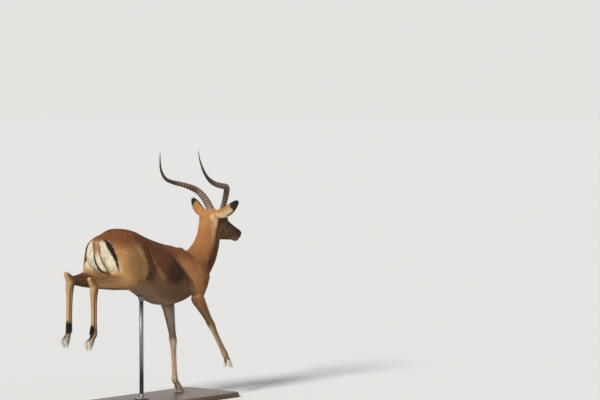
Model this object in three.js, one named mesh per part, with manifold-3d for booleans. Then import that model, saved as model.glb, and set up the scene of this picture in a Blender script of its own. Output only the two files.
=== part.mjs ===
// An impala ram at full size, landing from a bound, held by a plain display stand.
// Millimetres. +Z is up, +X is the way the ram runs and +Y is its left side.
// The origin is on the floor, under the middle of the whole model.
//
// The ram is drawn in its own frame, whose height 0 is SOLE_LEVEL above the landing hoof's sole.
// Each part of the body is a few lofts: rings of rounded outline that are carried along a path.
// The flesh is joined into one body and parted again by thin cuts. Eyes, ears, horns, hooves,
// tail and rod are cut back by a slightly grown copy of what they stand against.
import * as THREE from "three";
import { mergeVertices } from "three/addons/utils/BufferGeometryUtils.js";
import Module from "manifold-3d";

const wasm = await Module();
wasm.setup();

// ---- driving dimensions -------------------------------------------------------------------

const GAP = 0.35; // left between two parts that meet
const ROOT_GAP = 1; // left round the root of an ear, a horn or the tail
const SOLE_LEVEL = 20; // from the ram's height 0 down to the sole of the landing hoof
const BOARD = { length: 1060, width: 430, height: 30, corner: 40, edge: 4, centreX: 75 };
const ROD = { radius: 12, x: -35, reach: 640, flangeRadius: 42, flangeHeight: 8 };

// The head's own frame: x runs from the back of the skull to the nose, z to the forehead.
const HEAD = { at: [534, -7, 1004], yaw: -9, pitch: 22, roll: -6 };
const EYE = { at: [106, 40, 17], radius: 16 };
const EAR_ROOT = [12, 46, 19];
const EAR_TIP = { left: [-8, 153, 116], right: [86, 152, 108] };
const EAR = { halfWidth: 44, wall: 4.5, forward: 10, tipBack: 6, sag: 12, stations: 7, chords: 6 };
const EAR_ROLL = { left: [1.75, 1.25], right: [1.4, 0.45] }; // half angle at the root and the tip
const EAR_BULB = { at: [10, 46, 12], radii: [20, 16, 22] };
const HORN = {
  flatness: [0.6, 0.9], // width over depth at the base and further up
  roundFrom: 0.35, // the share of the length from which the second holds
  twist: 0.73, // how far the oval is turned, in radians
  ringShare: 0.62,
  rings: 10,
  ringHeight: 1.6,
};
// The horn's radius at shares of its length.
const HORN_TAPER = [
  [0, 24.5],
  [0.15, 21.5],
  [0.3, 19],
  [0.5, 15.5],
  [0.66, 11.5],
  [0.8, 7.5],
  [0.9, 4.6],
  [1, 1.8],
];

const SIDES = { left: 1, right: -1 };
const sides = Object.keys(SIDES);
const BOARD_TOP = -SOLE_LEVEL - GAP;

// Joints of the legs, one list for each side, all with y as the distance from the middle.
const FORE = {
  left: {
    top: [234, 44, 840],
    elbow: [315, 105, 500],
    knee: [336, 86, 284],
    fetlock: [325, 62, 54],
    footPitch: 0,
  },
  right: {
    top: [236, 44, 840],
    elbow: [338, 106, 540],
    knee: [475, 86, 380],
    fetlock: [615, 75, 191],
    footPitch: 9,
  },
};
const HIND = {
  left: {
    stifle: [-266, 130, 650],
    hock: [-526, 94, 683],
    heel: [-556, 96, 729],
    fetlock: [-547, 83, 407],
    footPitch: 59,
  },
  right: {
    stifle: [-270, 133, 657],
    hock: [-533, 97, 668],
    heel: [-573, 100, 708],
    fetlock: [-518, 82, 394],
    footPitch: 70,
  },
};

// ---- rows of the lofts --------------------------------------------------------------------
// A row is [x, y, z, over, under, width, power]: the centre, the reach to each side of it in the
// ring's depth, the half width, and the outline's power, where 2 is an ellipse.

const TRUNK = [
  [-452, 0, 846, 16, 26, 18, 2],
  [-440, 0, 842, 54, 60, 52, 2],
  [-408, 0, 836, 92, 92, 84, 2],
  [-345, 0, 828, 122, 128, 110, 2.1],
  [-275, 0, 814, 157, 150, 123, 2.1],
  [-205, 0, 795, 176, 152, 122, 2.1],
  [-135, 0, 772, 186, 155, 118, 2.1],
  [-65, 0, 738, 195, 158, 124, 2.1],
  [0, 0, 706, 202, 160, 132, 2.1],
  [70, 0, 690, 196, 170, 136, 2.1],
  [140, 0, 680, 187, 170, 132, 2.1],
  [210, 0, 676, 178, 168, 121, 2.05],
  [280, 0, 677, 157, 163, 108, 2],
  [345, 0, 682, 134, 150, 96, 2],
  [405, 0, 690, 104, 126, 82, 2],
  [455, 0, 688, 64, 88, 62, 2],
  [485, 0, 684, 22, 40, 30, 2],
];

const NECK = [
  [330, 0, 700, 92, 60, 82, 2],
  [385, 0, 716, 90, 88, 88, 2],
  [440, 0, 745, 88, 118, 84, 2],
  [485, 0, 786, 80, 118, 74, 2],
  [518, -1, 838, 72, 112, 62, 2],
  [543, -3, 894, 74, 100, 55, 2],
  [562, -5, 945, 83, 82, 56, 2],
  [576, -8, 985, 97, 60, 61, 2],
  [586, -10, 1018, 70, 30, 50, 2],
];

const HEAD_ROWS = [
  [-4, 0, 6, 26, 26, 24, 2],
  [16, 0, 4, 48, 48, 40, 2],
  [48, 0, 2, 60, 74, 46, 2],
  [80, 0, 0, 57, 94, 48, 2.1],
  [108, 0, -2, 50, 99, 46, 2.1],
  [136, 0, -4, 41, 92, 39, 2.1],
  [166, 0, -6, 34, 80, 33, 2.1],
  [198, 0, -8, 28, 67, 29, 2.2],
  [228, 0, -10, 24, 56, 28, 2.2],
  [250, 0, -12, 21, 47, 29, 2.3],
  [265, 0, -15, 17, 35, 25, 2.2],
  [274, 0, -20, 8, 18, 13, 2],
];

// The bony rim round each eye, in the head's frame.
const ORBIT = { at: [104, 32, 17], radii: [29, 21, 21] };

const HORN_PATH = {
  left: [
    [63, 26, 32],
    [42, 68, 97],
    [16, 105, 144],
    [-9, 130, 166],
    [-48, 131, 168],
    [-93, 127, 164],
    [-138, 135, 160],
    [-183, 152, 156],
    [-228, 169, 160],
    [-265, 175, 186],
    [-295, 172, 229],
    [-322, 166, 294],
  ],
  right: [
    [66, 34, 34],
    [46, 69, 99],
    [18, 101, 144],
    [-9, 124, 170],
    [-47, 129, 165],
    [-92, 126, 158],
    [-139, 133, 158],
    [-182, 151, 160],
    [-226, 169, 169],
    [-265, 176, 195],
    [-296, 173, 236],
    [-315, 167, 281],
  ],
};

const TAIL = [
  [-408, -3, 916, 12, 12, 15, 2],
  [-432, -14, 908, 13, 13, 17, 2],
  [-446, -32, 884, 12, 13, 20, 2],
  [-451, -38, 848, 11, 12, 23, 2],
  [-452, -46, 810, 10, 12, 25, 2],
  [-451, -62, 779, 9, 11, 24, 2],
  [-450, -77, 761, 8, 9, 21, 2],
  [-449, -95, 750, 5, 6, 14, 2],
  [-448, -107, 746, 2, 2, 5, 2],
];

// Shoulder and upper arm: [share of the way from the top to the elbow, x shift, y, front, back, width].
const SHOULDER = [
  [0.0, -8, 44, 22, 34, 18],
  [0.1, -8, 60, 54, 80, 33],
  [0.26, 0, 77, 96, 106, 40],
  [0.42, 12, 88, 124, 110, 42],
  [0.56, 20, 94, 138, 102, 43],
  [0.7, 16, 99, 112, 86, 41],
  [0.82, 10, 103, 84, 66, 37],
  [0.92, 4, 105, 60, 46, 31],
  [1.0, 0, 106, 42, 34, 26],
];

// Below the elbow: [segment, share along it, front, back, width].
const FORE_SHANK = [
  ["arm", -0.16, 34, 33, 25],
  ["arm", 0.0, 40, 45, 29],
  ["arm", 0.25, 34, 38, 27],
  ["arm", 0.5, 27, 30, 23],
  ["arm", 0.8, 21.5, 23, 19.5],
  ["arm", 1.0, 21.5, 24, 20.5],
  ["cannon", 0.13, 18.5, 20.5, 17.5],
  ["cannon", 0.32, 15.5, 18, 14.5],
  ["cannon", 0.7, 14.5, 17.5, 13.5],
  ["cannon", 0.9, 16, 19.5, 15.5],
];
// The thigh: [x, y, z, front, back, width].
const THIGH = [
  [-300, 52, 938, 36, 42, 24, 2],
  [-300, 68, 905, 82, 74, 45, 2],
  [-296, 80, 855, 124, 104, 57, 2],
  [-292, 88, 800, 150, 114, 61, 2],
  [-287, 93, 752, 148, 120, 59, 2],
  [-278, 102, 710, 122, 120, 54, 2],
  [-268, 112, 674, 74, 108, 46, 2],
  [-264, 120, 646, 40, 84, 36, 2],
  [-266, 124, 630, 18, 44, 20, 2],
];
// The gaskin: [share from the stifle to the hock, rise, lower side, upper side, width].
const GASKIN = [
  [-0.1, 6, 24, 40, 28],
  [0.08, 8, 34, 66, 38],
  [0.3, 6, 32, 74, 37],
  [0.52, 2, 27, 60, 29],
  [0.74, 0, 21, 44, 21],
  [0.92, 2, 19, 34, 19],
  [1.04, 6, 15, 22, 17],
];
// Hock and cannon: [segment, share along it, front, back, width].
const HIND_SHANK = [
  ["heel", -0.12, 8, 9, 9],
  ["heel", 0.12, 16, 15, 15],
  ["heel", 0.5, 26, 20, 18],
  ["heel", 1.0, 30, 26, 21],
  ["cannon", 0.14, 23, 28, 20],
  ["cannon", 0.32, 18, 24, 16],
  ["cannon", 0.68, 16, 21, 15],
  ["cannon", 0.9, 17, 21, 16.5],
];
// From the fetlock to the hoof, in the foot's frame: [x, z, front, back, width].
// The foot's frame has its origin at the top of the hoof, x to the toe and z square to the sole.
const FETLOCK_AT = [-30, 42];
const PASTERN = [
  [-30, 42, 17, 21, 17],
  [-17, 24, 15, 17, 15.5],
  [-5, 7, 18, 19, 18],
  [2, -8, 15, 17, 15],
];
// One claw of a hoof, in the foot's frame: [x, z, front, back, width].
const SOLE_DEPTH = 32;
const CLAW = [
  [-5, 6, 17, 14, 8],
  [-2, -4, 22, 17, 9.6],
  [4, -18, 26, 21, 10.6],
  [9, -SOLE_DEPTH, 30, 24, 11],
];
const CLAW_OFFSET = 11.4;

// The thin cuts that part the flesh: a plate at a place, square to a direction, with the half
// lengths of its sides. A cut with `pair` is made on both sides of the body.
const CUTS = [
  { at: [583, -8, 938], towards: [0.8, -0.06, 0.6], half: [128, 90] },
  { at: [510, 0, 818], towards: [0.46, 0, 0.89], half: [134, 90] },
  { at: [330, 112, 560], towards: [0, -0.66, 0.75], half: [118, 66], pair: true },
  { at: [-290, 110, 708], towards: [0.365, -0.417, 0.834], half: [165, 86], pair: true },
];
const SMALLEST_PIECE = 50000; // cubic millimetres; anything less is a crumb of a cut
// A point near the middle of each piece of flesh, which tells the pieces apart.
const PIECES = {
  trunk: [0, 0, 720],
  neck: [540, 0, 885],
  head: [640, -15, 950],
  foreleg_left: [325, 95, 380],
  foreleg_right: [440, -95, 430],
  hindleg_left: [-420, 110, 640],
  hindleg_right: [-420, -110, 640],
};

// ---- making shapes ------------------------------------------------------------------------

/** Adds rings between the rows, each number on a cubic through its neighbours. */
function refine(rows, steps) {
  const along = [0];
  for (let i = 1; i < rows.length; i++) {
    const [a, b] = [rows[i - 1], rows[i]];
    along.push(along[i - 1] + Math.hypot(b[0] - a[0], b[1] - a[1], b[2] - a[2]));
  }
  const slope = (i, k) => {
    const lo = Math.max(0, i - 1);
    const hi = Math.min(rows.length - 1, i + 1);
    return (rows[hi][k] - rows[lo][k]) / (along[hi] - along[lo]);
  };
  const rings = [];
  for (let i = 0; i < rows.length - 1; i++) {
    const span = along[i + 1] - along[i];
    for (let j = 0; j < steps; j++) {
      const t = j / steps;
      const [t2, t3] = [t * t, t * t * t];
      rings.push(
        rows[i].map(
          (value, k) =>
            (2 * t3 - 3 * t2 + 1) * value +
            (t3 - 2 * t2 + t) * span * slope(i, k) +
            (3 * t2 - 2 * t3) * rows[i + 1][k] +
            (t3 - t2) * span * slope(i + 1, k),
        ),
      );
    }
  }
  rings.push([...rows.at(-1)]);
  return rings;
}

/** A signed power, which rounds or squares an outline. */
const bend = (value, power) => Math.sign(value) * Math.abs(value) ** (2 / power);

/** The closed surface over rings of points, all with the same count, with flat ends. */
function skinOver(rings) {
  const count = rings[0].length;
  const points = rings.flat();
  const faces = [];
  for (let i = 0; i < rings.length - 1; i++) {
    for (let k = 0; k < count; k++) {
      const [a, b] = [i * count + k, i * count + ((k + 1) % count)];
      faces.push(a, b, b + count, a, b + count, a + count);
    }
  }
  const ends = [rings[0], rings.at(-1)].map((ring) =>
    ring.reduce((sum, p) => sum.add(p), new THREE.Vector3()).divideScalar(count),
  );
  const [first, last] = [points.length, points.length + 1];
  points.push(...ends);
  const tail = (rings.length - 1) * count;
  for (let k = 0; k < count; k++) {
    const next = (k + 1) % count;
    faces.push(first, next, k, last, tail + k, tail + next);
  }
  const geometry = new THREE.BufferGeometry().setFromPoints(points);
  geometry.setIndex(faces);
  return geometry;
}

/**
 * Rings of rounded outline along the rows. `grow` swells every ring, for a copy that cuts a
 * neighbour. `along` fixes the direction that all rings face; without it they face along the path.
 * `twist` turns every ring about the direction that it faces.
 */
function loft(rows, { sides = 16, steps = 1, along = null, grow = 0, twist = 0 } = {}) {
  const rings = refine(rows, steps);
  const centre = (i) => new THREE.Vector3(...rings[Math.min(Math.max(i, 0), rings.length - 1)]);
  const outlines = rings.map((ring, i) => {
    const facing = along
      ? new THREE.Vector3(...along)
      : centre(i + 1).sub(centre(i - 1)).normalize();
    const across = new THREE.Vector3(0, 1, 0);
    across.addScaledVector(facing, -across.dot(facing)).normalize();
    across.applyAxisAngle(facing, twist);
    const deep = new THREE.Vector3().crossVectors(facing, across);
    const [, , , over, under, width, power = 2] = ring;
    const middle = centre(i);
    if (i === 0) middle.addScaledVector(facing, -grow);
    if (i === rings.length - 1) middle.addScaledVector(facing, grow);
    return Array.from({ length: sides }, (_, k) => {
      const turn = (2 * Math.PI * k) / sides;
      const depth = bend(Math.sin(turn), power);
      return middle
        .clone()
        .addScaledVector(across, bend(Math.cos(turn), power) * (width + grow))
        .addScaledVector(deep, depth * ((depth > 0 ? over : under) + grow));
    });
  });
  return skinOver(outlines);
}

/** A three.js geometry as a solid that can be joined and cut. */
function solid(geometry) {
  const bare = geometry.clone();
  for (const name of Object.keys(bare.attributes)) {
    if (name !== "position") bare.deleteAttribute(name);
  }
  const merged = mergeVertices(bare, 1e-4);
  return new wasm.Manifold(
    new wasm.Mesh({
      numProp: 3,
      vertProperties: new Float32Array(merged.attributes.position.array),
      triVerts: new Uint32Array(merged.index.array),
    }),
  );
}

/** A solid's surface as a three.js geometry. */
function surface(body) {
  const mesh = body.getMesh();
  const geometry = new THREE.BufferGeometry();
  const points = new Float32Array(mesh.numVert * 3);
  for (let i = 0; i < mesh.numVert; i++) {
    points.set(mesh.vertProperties.subarray(i * mesh.numProp, i * mesh.numProp + 3), i * 3);
  }
  geometry.setAttribute("position", new THREE.BufferAttribute(points, 3));
  geometry.setIndex(new THREE.BufferAttribute(mesh.triVerts, 1));
  return geometry;
}

const join = (geometries) => geometries.map(solid).reduce((all, next) => all.add(next));

/** The largest single body of a solid, without the slivers that a cut can leave. */
const largest = (body) =>
  body.decompose().reduce((best, next) => (next.volume() > best.volume() ? next : best));

const lerp = (a, b, t) => a + (b - a) * t;
const between = (a, b, t) => a.map((value, k) => lerp(value, b[k], t));
/** The same joint on the left, y positive, or on the right, y negative. */
const onSide = ([x, y, z], side) => [x, y * SIDES[side], z];

// ---- head ---------------------------------------------------------------------------------

const radians = THREE.MathUtils.degToRad;
const headFrame = new THREE.Matrix4()
  .makeTranslation(...HEAD.at)
  .multiply(new THREE.Matrix4().makeRotationZ(radians(HEAD.yaw)))
  .multiply(new THREE.Matrix4().makeRotationY(radians(HEAD.pitch)))
  .multiply(new THREE.Matrix4().makeRotationX(radians(HEAD.roll)));
const inHead = (geometry) => geometry.applyMatrix4(headFrame);

/** A ball, stretched to three radii, at a place. */
function ball(at, radii, grow = 0) {
  return new THREE.SphereGeometry(1, 12, 8)
    .scale(radii[0] + grow, radii[1] + grow, radii[2] + grow)
    .translate(...at);
}

function eyeball(side, grow = 0) {
  return inHead(ball(onSide(EYE.at, side), [EYE.radius, EYE.radius, EYE.radius], grow));
}

function headFlesh(grow = 0) {
  const skull = loft(HEAD_ROWS, { sides: 14, steps: 2, along: [1, 0, 0], grow });
  const rims = sides.map((side) => ball(onSide(ORBIT.at, side), ORBIT.radii, grow));
  const bulbs = sides.map((side) => ball(onSide(EAR_BULB.at, side), EAR_BULB.radii, grow));
  return join([skull, ...rims, ...bulbs].map(inHead));
}

/**
 * The width of an ear's leaf, from 0 to 1, at a share of its length: the root lies part of the
 * way up a swelling whose widest place is below the middle.
 */
function leafWidth(share) {
  const [rootShare, tipShare, skew, fullness] = [0.3, 0.98, 1.35, 0.62];
  return Math.sin(Math.PI * lerp(rootShare, tipShare, share) ** skew) ** fullness;
}

/** One ear: a thin leaf, rolled into a cup that opens forwards and flattens to its tip. */
function ear(side) {
  const [rootWall, tipWall, rollPower, cupDepth] = [1.2, 0.6, 0.8, 0.75];
  const root = new THREE.Vector3(...onSide(EAR_ROOT, side));
  const long = new THREE.Vector3(...onSide(EAR_TIP[side], side)).sub(root);
  const facing = long.clone().normalize();
  const ahead = new THREE.Vector3(1, 0, 0.1);
  ahead.addScaledVector(facing, -ahead.dot(facing)).normalize();
  const across = new THREE.Vector3().crossVectors(ahead, facing);
  const rings = Array.from({ length: EAR.stations + 1 }, (_, i) => {
    const share = i / EAR.stations;
    const roll = lerp(...EAR_ROLL[side], share ** rollPower);
    const radius = (leafWidth(share) * EAR.halfWidth) / roll;
    const wall = EAR.wall * lerp(rootWall, tipWall, share);
    const bow = EAR.forward * Math.sin(Math.PI * share) - EAR.tipBack * share;
    const middle = root.clone().addScaledVector(long, share);
    middle.addScaledVector(ahead, bow + cupDepth * radius);
    middle.addScaledVector(across, -SIDES[side] * EAR.sag * Math.sin(Math.PI * share));
    const onArc = (turn, reach) =>
      middle
        .clone()
        .addScaledVector(across, Math.sin(turn) * reach)
        .addScaledVector(ahead, -Math.cos(turn) * reach);
    const turns = Array.from({ length: EAR.chords }, (_, k) =>
      lerp(-roll, roll, k / (EAR.chords - 1)),
    );
    const outer = turns.map((turn) => onArc(turn, radius + wall / 2));
    const inner = turns.map((turn) => onArc(turn, radius - wall / 2)).reverse();
    return [...outer, ...inner];
  });
  return inHead(skinOver(rings));
}

/** The second number of a table at a value of its first, read between its rows. */
function readTable(rows, value) {
  const next = Math.max(1, rows.findIndex(([start]) => start >= value));
  const [[x0, y0], [x1, y1]] = [rows[next - 1], rows[next]];
  return lerp(y0, y1, (value - x0) / (x1 - x0));
}

/** One horn, ringed over its lower part. A grown copy, without rings, cuts its neighbours. */
function horn(side, grow = 0) {
  const [plain, ringFade, hornSides] = [7, 0.5, 8];
  const path = new THREE.CatmullRomCurve3(
    HORN_PATH[side].map((point) => new THREE.Vector3(...onSide(point, side))),
  );
  const ringed = 2 * HORN.rings;
  const rows = Array.from({ length: ringed + plain + 1 }, (_, i) => {
    const share =
      i <= ringed ? (HORN.ringShare * i) / ringed : lerp(HORN.ringShare, 1, (i - ringed) / plain);
    const ridge = grow > 0 || (i < ringed && i % 2 === 1) ? HORN.ringHeight : 0;
    const radius = readTable(HORN_TAPER, share) + ridge * (1 - ringFade * share);
    const width = radius * lerp(...HORN.flatness, Math.min(1, share / HORN.roundFrom));
    return [...path.getPointAt(share).toArray(), radius, radius, width, 2];
  });
  return inHead(loft(rows, { sides: hornSides, grow, twist: -SIDES[side] * HORN.twist }));
}

// ---- legs ---------------------------------------------------------------------------------

/** The foot's frame: at the fetlock, tipped forwards by its pitch. */
function footFrame(leg, side) {
  return new THREE.Matrix4()
    .makeTranslation(...onSide(leg.fetlock, side))
    .multiply(new THREE.Matrix4().makeRotationY(radians(leg.footPitch)))
    .multiply(new THREE.Matrix4().makeTranslation(-FETLOCK_AT[0], 0, -FETLOCK_AT[1]));
}

function pasternRows(leg, side) {
  const frame = footFrame(leg, side);
  return PASTERN.map(([x, z, front, back, width]) => [
    ...new THREE.Vector3(x, 0, z).applyMatrix4(frame).toArray(),
    front,
    back,
    width,
    2,
  ]);
}

/** Rows of a shank, from its table and the joints at the ends of each segment. */
function shankRows(table, segments, leg, side) {
  const rows = table.map(([segment, share, front, back, width]) => {
    const [from, to] = segments[segment].map((joint) => onSide(leg[joint], side));
    return [...between(from, to, share), front, back, width, 2];
  });
  return [...rows, ...pasternRows(leg, side)];
}

function foreLeg(side) {
  const leg = FORE[side];
  const upper = SHOULDER.map(([share, shift, y, front, back, width]) => {
    const [x, , z] = between(leg.top, leg.elbow, share);
    return [x + shift, y * SIDES[side], z, front, back, width, 2];
  });
  const segments = { arm: ["elbow", "knee"], cannon: ["knee", "fetlock"] };
  return join([
    loft(upper, { sides: 14, along: [0, 0, -1] }),
    loft(shankRows(FORE_SHANK, segments, leg, side), { sides: 8 }),
  ]);
}

function gaskinRows(side) {
  const leg = HIND[side];
  return GASKIN.map(([share, rise, lower, upper, width]) => {
    const [x, y, z] = between(onSide(leg.stifle, side), onSide(leg.hock, side), share);
    return [x, y, z + rise, lower, upper, width, 2];
  });
}

function thigh(side, grow = 0) {
  const rows = THIGH.map((row) => [...onSide(row, side), ...row.slice(3)]);
  return loft(rows, { sides: 14, along: [0, 0, -1], grow });
}

function hindLeg(side) {
  const segments = { heel: ["heel", "hock"], cannon: ["hock", "fetlock"] };
  return join([
    thigh(side),
    loft(gaskinRows(side), { sides: 10 }),
    loft(shankRows(HIND_SHANK, segments, HIND[side], side), { sides: 8 }),
  ]);
}

/** One claw of a foot, towards +Y or -Y, cut to fit under the leg. */
function claw(leg, side, towards) {
  const offset = towards * CLAW_OFFSET;
  const rows = CLAW.map(([x, z, front, back, width]) => [x, offset, z, front, back, width, 2.4]);
  const shape = loft(rows, { sides: 8, along: [0, 0, -1] }).applyMatrix4(footFrame(leg, side));
  const foot = solid(loft(pasternRows(leg, side), { sides: 8, grow: GAP }));
  return largest(solid(shape).subtract(foot));
}

// ---- stand --------------------------------------------------------------------------------

function board() {
  const { length, width, height, corner, edge, centreX } = BOARD;
  const [halfX, halfY] = [length / 2 - edge, width / 2 - edge];
  const outline = new THREE.Shape();
  outline.moveTo(-halfX + corner, -halfY);
  for (const [cx, cy, from] of [
    [halfX - corner, -halfY + corner, -Math.PI / 2],
    [halfX - corner, halfY - corner, 0],
    [-halfX + corner, halfY - corner, Math.PI / 2],
    [-halfX + corner, -halfY + corner, Math.PI],
  ]) {
    outline.absarc(cx, cy, corner, from, from + Math.PI / 2);
  }
  return new THREE.ExtrudeGeometry(outline, {
    depth: height - 2 * edge,
    bevelThickness: edge,
    bevelSize: edge,
    bevelSegments: 1,
    curveSegments: 3,
  }).translate(centreX, 0, edge - height + BOARD_TOP);
}

/** An upright cylinder between two heights. */
function upright(radius, bottom, top, sides = 24) {
  return new THREE.CylinderGeometry(radius, radius, top - bottom, sides)
    .rotateX(Math.PI / 2)
    .translate(ROD.x, 0, (top + bottom) / 2);
}

// ---- putting it together --------------------------------------------------------------------

/** The thin plates of one cut. */
function cutPlates({ at, towards, half, pair = false }) {
  return (pair ? sides : ["left"]).map((side) => {
    const facing = new THREE.Vector3(...onSide(towards, side)).normalize();
    const turn = new THREE.Matrix4().lookAt(facing, new THREE.Vector3(), new THREE.Vector3(0, 1, 0));
    const plate = new THREE.BoxGeometry(2 * half[0], 2 * half[1], GAP).applyMatrix4(turn);
    return solid(plate.translate(...onSide(at, side)));
  });
}

/** The name of the piece whose point is the nearest to the middle of a body. */
function nameOf(body) {
  const { min, max } = body.boundingBox();
  const middle = between([...min], [...max], 0.5);
  const distance = (name) => Math.hypot(...PIECES[name].map((value, k) => value - middle[k]));
  return Object.keys(PIECES).reduce((best, name) => (distance(name) < distance(best) ? name : best));
}

const FINISHES = {
  coat: { color: 0xa8672f, roughness: 0.85, metalness: 0 },
  horn: { color: 0x33261f, roughness: 0.5, metalness: 0 },
  hoof: { color: 0x2a2623, roughness: 0.5, metalness: 0 },
  eye: { color: 0x120c08, roughness: 0.1, metalness: 0 },
  board: { color: 0x4a3c30, roughness: 0.5, metalness: 0 },
  steel: { color: 0x55585a, roughness: 0.4, metalness: 0.9 },
};
const ram = new THREE.Group();

function place(name, body, finish) {
  const material = new THREE.MeshStandardMaterial(FINISHES[finish]);
  const mesh = new THREE.Mesh(surface(body), material);
  mesh.name = name;
  ram.add(mesh);
}

const trunkLoft = (grow) => loft(TRUNK, { sides: 20, along: [1, 0, 0], grow });
const neckLoft = (grow) => loft(NECK, { sides: 14, steps: 2, grow });
const besideSkull = [headFlesh(ROOT_GAP), solid(neckLoft(ROOT_GAP))];
const cutBy = (body, others) => others.reduce((rest, other) => rest.subtract(other), body);

const flesh = [headFlesh(), ...sides.flatMap((side) => [foreLeg(side), hindLeg(side)])].reduce(
  (all, next) => all.add(next),
  join([trunkLoft(0), neckLoft(0)]),
);
const cutters = [...sides.map((side) => solid(eyeball(side, GAP))), ...CUTS.flatMap(cutPlates)];
const parted = cutBy(flesh, cutters);
for (const piece of parted.decompose()) {
  if (piece.volume() > SMALLEST_PIECE) place(nameOf(piece), piece, "coat");
}

for (const side of sides) {
  for (const [kind, legs] of Object.entries({ fore: FORE, hind: HIND })) {
    place(`hoof_${kind}_${side}_outer`, claw(legs[side], side, SIDES[side]), "hoof");
    place(`hoof_${kind}_${side}_inner`, claw(legs[side], side, -SIDES[side]), "hoof");
  }
  place(`eye_${side}`, solid(eyeball(side)), "eye");
  place(`horn_${side}`, largest(cutBy(solid(horn(side)), besideSkull)), "horn");
  const besideEar = [...besideSkull, solid(horn(side, ROOT_GAP))];
  place(`ear_${side}`, largest(cutBy(solid(ear(side)), besideEar)), "coat");
}
const beforeTail = [solid(trunkLoft(ROOT_GAP)), ...sides.map((side) => solid(thigh(side, ROOT_GAP)))];
place("tail", largest(cutBy(solid(loft(TAIL, { sides: 8 })), beforeTail)), "coat");

const flangeTop = BOARD_TOP + GAP + ROD.flangeHeight;
const rodShaft = solid(upright(ROD.radius, flangeTop + GAP, ROD.reach));
const rodBody = rodShaft.subtract(solid(trunkLoft(GAP)));
place("stand_base", solid(board()), "board");
place("stand_flange", solid(upright(ROD.flangeRadius, BOARD_TOP + GAP, flangeTop)), "steel");
place("stand_rod", largest(rodBody), "steel");

// The board's underside goes to height 0, and the middle of the whole model to the origin.
const box = new THREE.Box3().setFromObject(ram);
ram.position.set(-(box.min.x + box.max.x) / 2, -(box.min.y + box.max.y) / 2, -box.min.z);

export default new THREE.Group().add(ram);
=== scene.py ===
"""A life-size impala ram landing from a bound, held by a plain display stand.

One skin stands for all the flesh. It is carried along the same rows as the solids, drawn in by the
coat's depth, and its folds, lids and grooves are worked into it. Thin tufts lie over it in the
direction of the hair. Skin and tufts take their colours from one set of markings, into which shade
and some light are painted. Horns, hooves, eyes, ears and the stand are pieces of their own.

Tables are in millimetres in the ram's own frame: +X forwards, +Y to its left, +Z up, with height 0
a little above the sole of the landing hoof. `Place` carries them into the row's frame, in metres.
"""

from __future__ import annotations

import logging
import math
from collections.abc import Callable, Iterable, Sequence
from dataclasses import dataclass, field
from enum import Enum

import bmesh
import bpy
import numpy as np
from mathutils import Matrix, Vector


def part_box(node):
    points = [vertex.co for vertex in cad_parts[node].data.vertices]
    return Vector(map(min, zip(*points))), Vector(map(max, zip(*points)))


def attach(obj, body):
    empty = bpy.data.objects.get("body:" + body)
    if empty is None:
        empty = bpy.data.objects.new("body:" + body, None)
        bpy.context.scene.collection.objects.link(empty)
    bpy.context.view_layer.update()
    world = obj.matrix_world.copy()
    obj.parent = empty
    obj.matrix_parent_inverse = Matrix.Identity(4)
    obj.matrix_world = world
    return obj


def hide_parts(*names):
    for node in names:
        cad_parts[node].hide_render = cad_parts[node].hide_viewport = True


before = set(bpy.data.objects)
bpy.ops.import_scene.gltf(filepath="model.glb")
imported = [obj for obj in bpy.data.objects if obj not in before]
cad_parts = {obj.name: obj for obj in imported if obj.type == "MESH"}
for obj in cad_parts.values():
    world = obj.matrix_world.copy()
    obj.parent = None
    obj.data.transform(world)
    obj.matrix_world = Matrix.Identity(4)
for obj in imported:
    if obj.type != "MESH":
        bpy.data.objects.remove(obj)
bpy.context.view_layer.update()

Array = np.ndarray
Triple = tuple[float, float, float]
Mesh = bpy.types.Mesh
Object = bpy.types.Object
Material = bpy.types.Material
Socket = bpy.types.NodeSocket
log = logging.getLogger("ram")

MM = 0.001
BODY = "root"
SEED = 20
TINY = 1e-12  # keeps a length from being divided by nothing


class Side(Enum):
    """The two sides of the body, with the sign of Y on each."""

    LEFT = 1
    RIGHT = -1

    @property
    def label(self) -> str:
        """The side's name in lower case, as the nodes use it."""
        return self.name.lower()


class Slot(Enum):
    """The record's material slots."""

    COAT = "coat"
    EYE = "eye"
    HORN = "horn"
    HOOF = "hoof"
    BOARD = "board"
    STEEL = "steel"


# ---- numbers ------------------------------------------------------------------------------------


def vec(*numbers: float) -> Array:
    """The numbers as an array."""
    return np.array(numbers, float)


def sideways(along: Array) -> Array:
    """The level direction across each direction, towards +Y."""
    return unit(vec(0, 1, 0) - along * along[:, 1:2])


def lain(way: Array, up: Array) -> Array:
    """Each way, turned to lie square to its up."""
    return unit(way - up * dot(way, up)[:, None])


def rows_of(text: str) -> Array:
    """Rows of numbers from text, with semicolons between the rows."""
    return np.array([row.split() for row in text.split(";")], float)


def named_rows(text: str, words: int) -> list[list]:
    """Rows from text, with semicolons between them, that start with words and go on with numbers."""
    rows = [row.split() for row in text.split(";")]
    return [[*row[:words], *map(float, row[words:])] for row in rows]


def norm(vectors: Array) -> Array:
    """Lengths of vectors, along the last axis."""
    return np.linalg.norm(vectors, axis=-1)


def unit(vectors: Array) -> Array:
    """Vectors scaled to length one, along the last axis."""
    return vectors / np.maximum(norm(vectors)[..., None], TINY)


def lengths_along(line: Array) -> Array:
    """How far along the line each of its corners lies."""
    return np.concatenate([[0], np.cumsum(norm(np.diff(line, axis=0)))])


def read_at(values: Array, places: Array, rows: Array) -> Array:
    """Each column of the rows, which lie at the places, read at the values."""
    return np.stack([np.interp(values, places, column) for column in rows.T], 1)


def circle(count: int) -> Array:
    """Even angles once round."""
    return 2 * np.pi * np.arange(count) / count


def one_side(points: Array) -> Array:
    """The points with those of the right side mirrored to the left."""
    return np.stack([points[:, 0], np.abs(points[:, 1]), points[:, 2]], 1)


def dot(a: Array, b: Array) -> Array:
    """Dot products along the last axis."""
    return (a * b).sum(-1)


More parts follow.
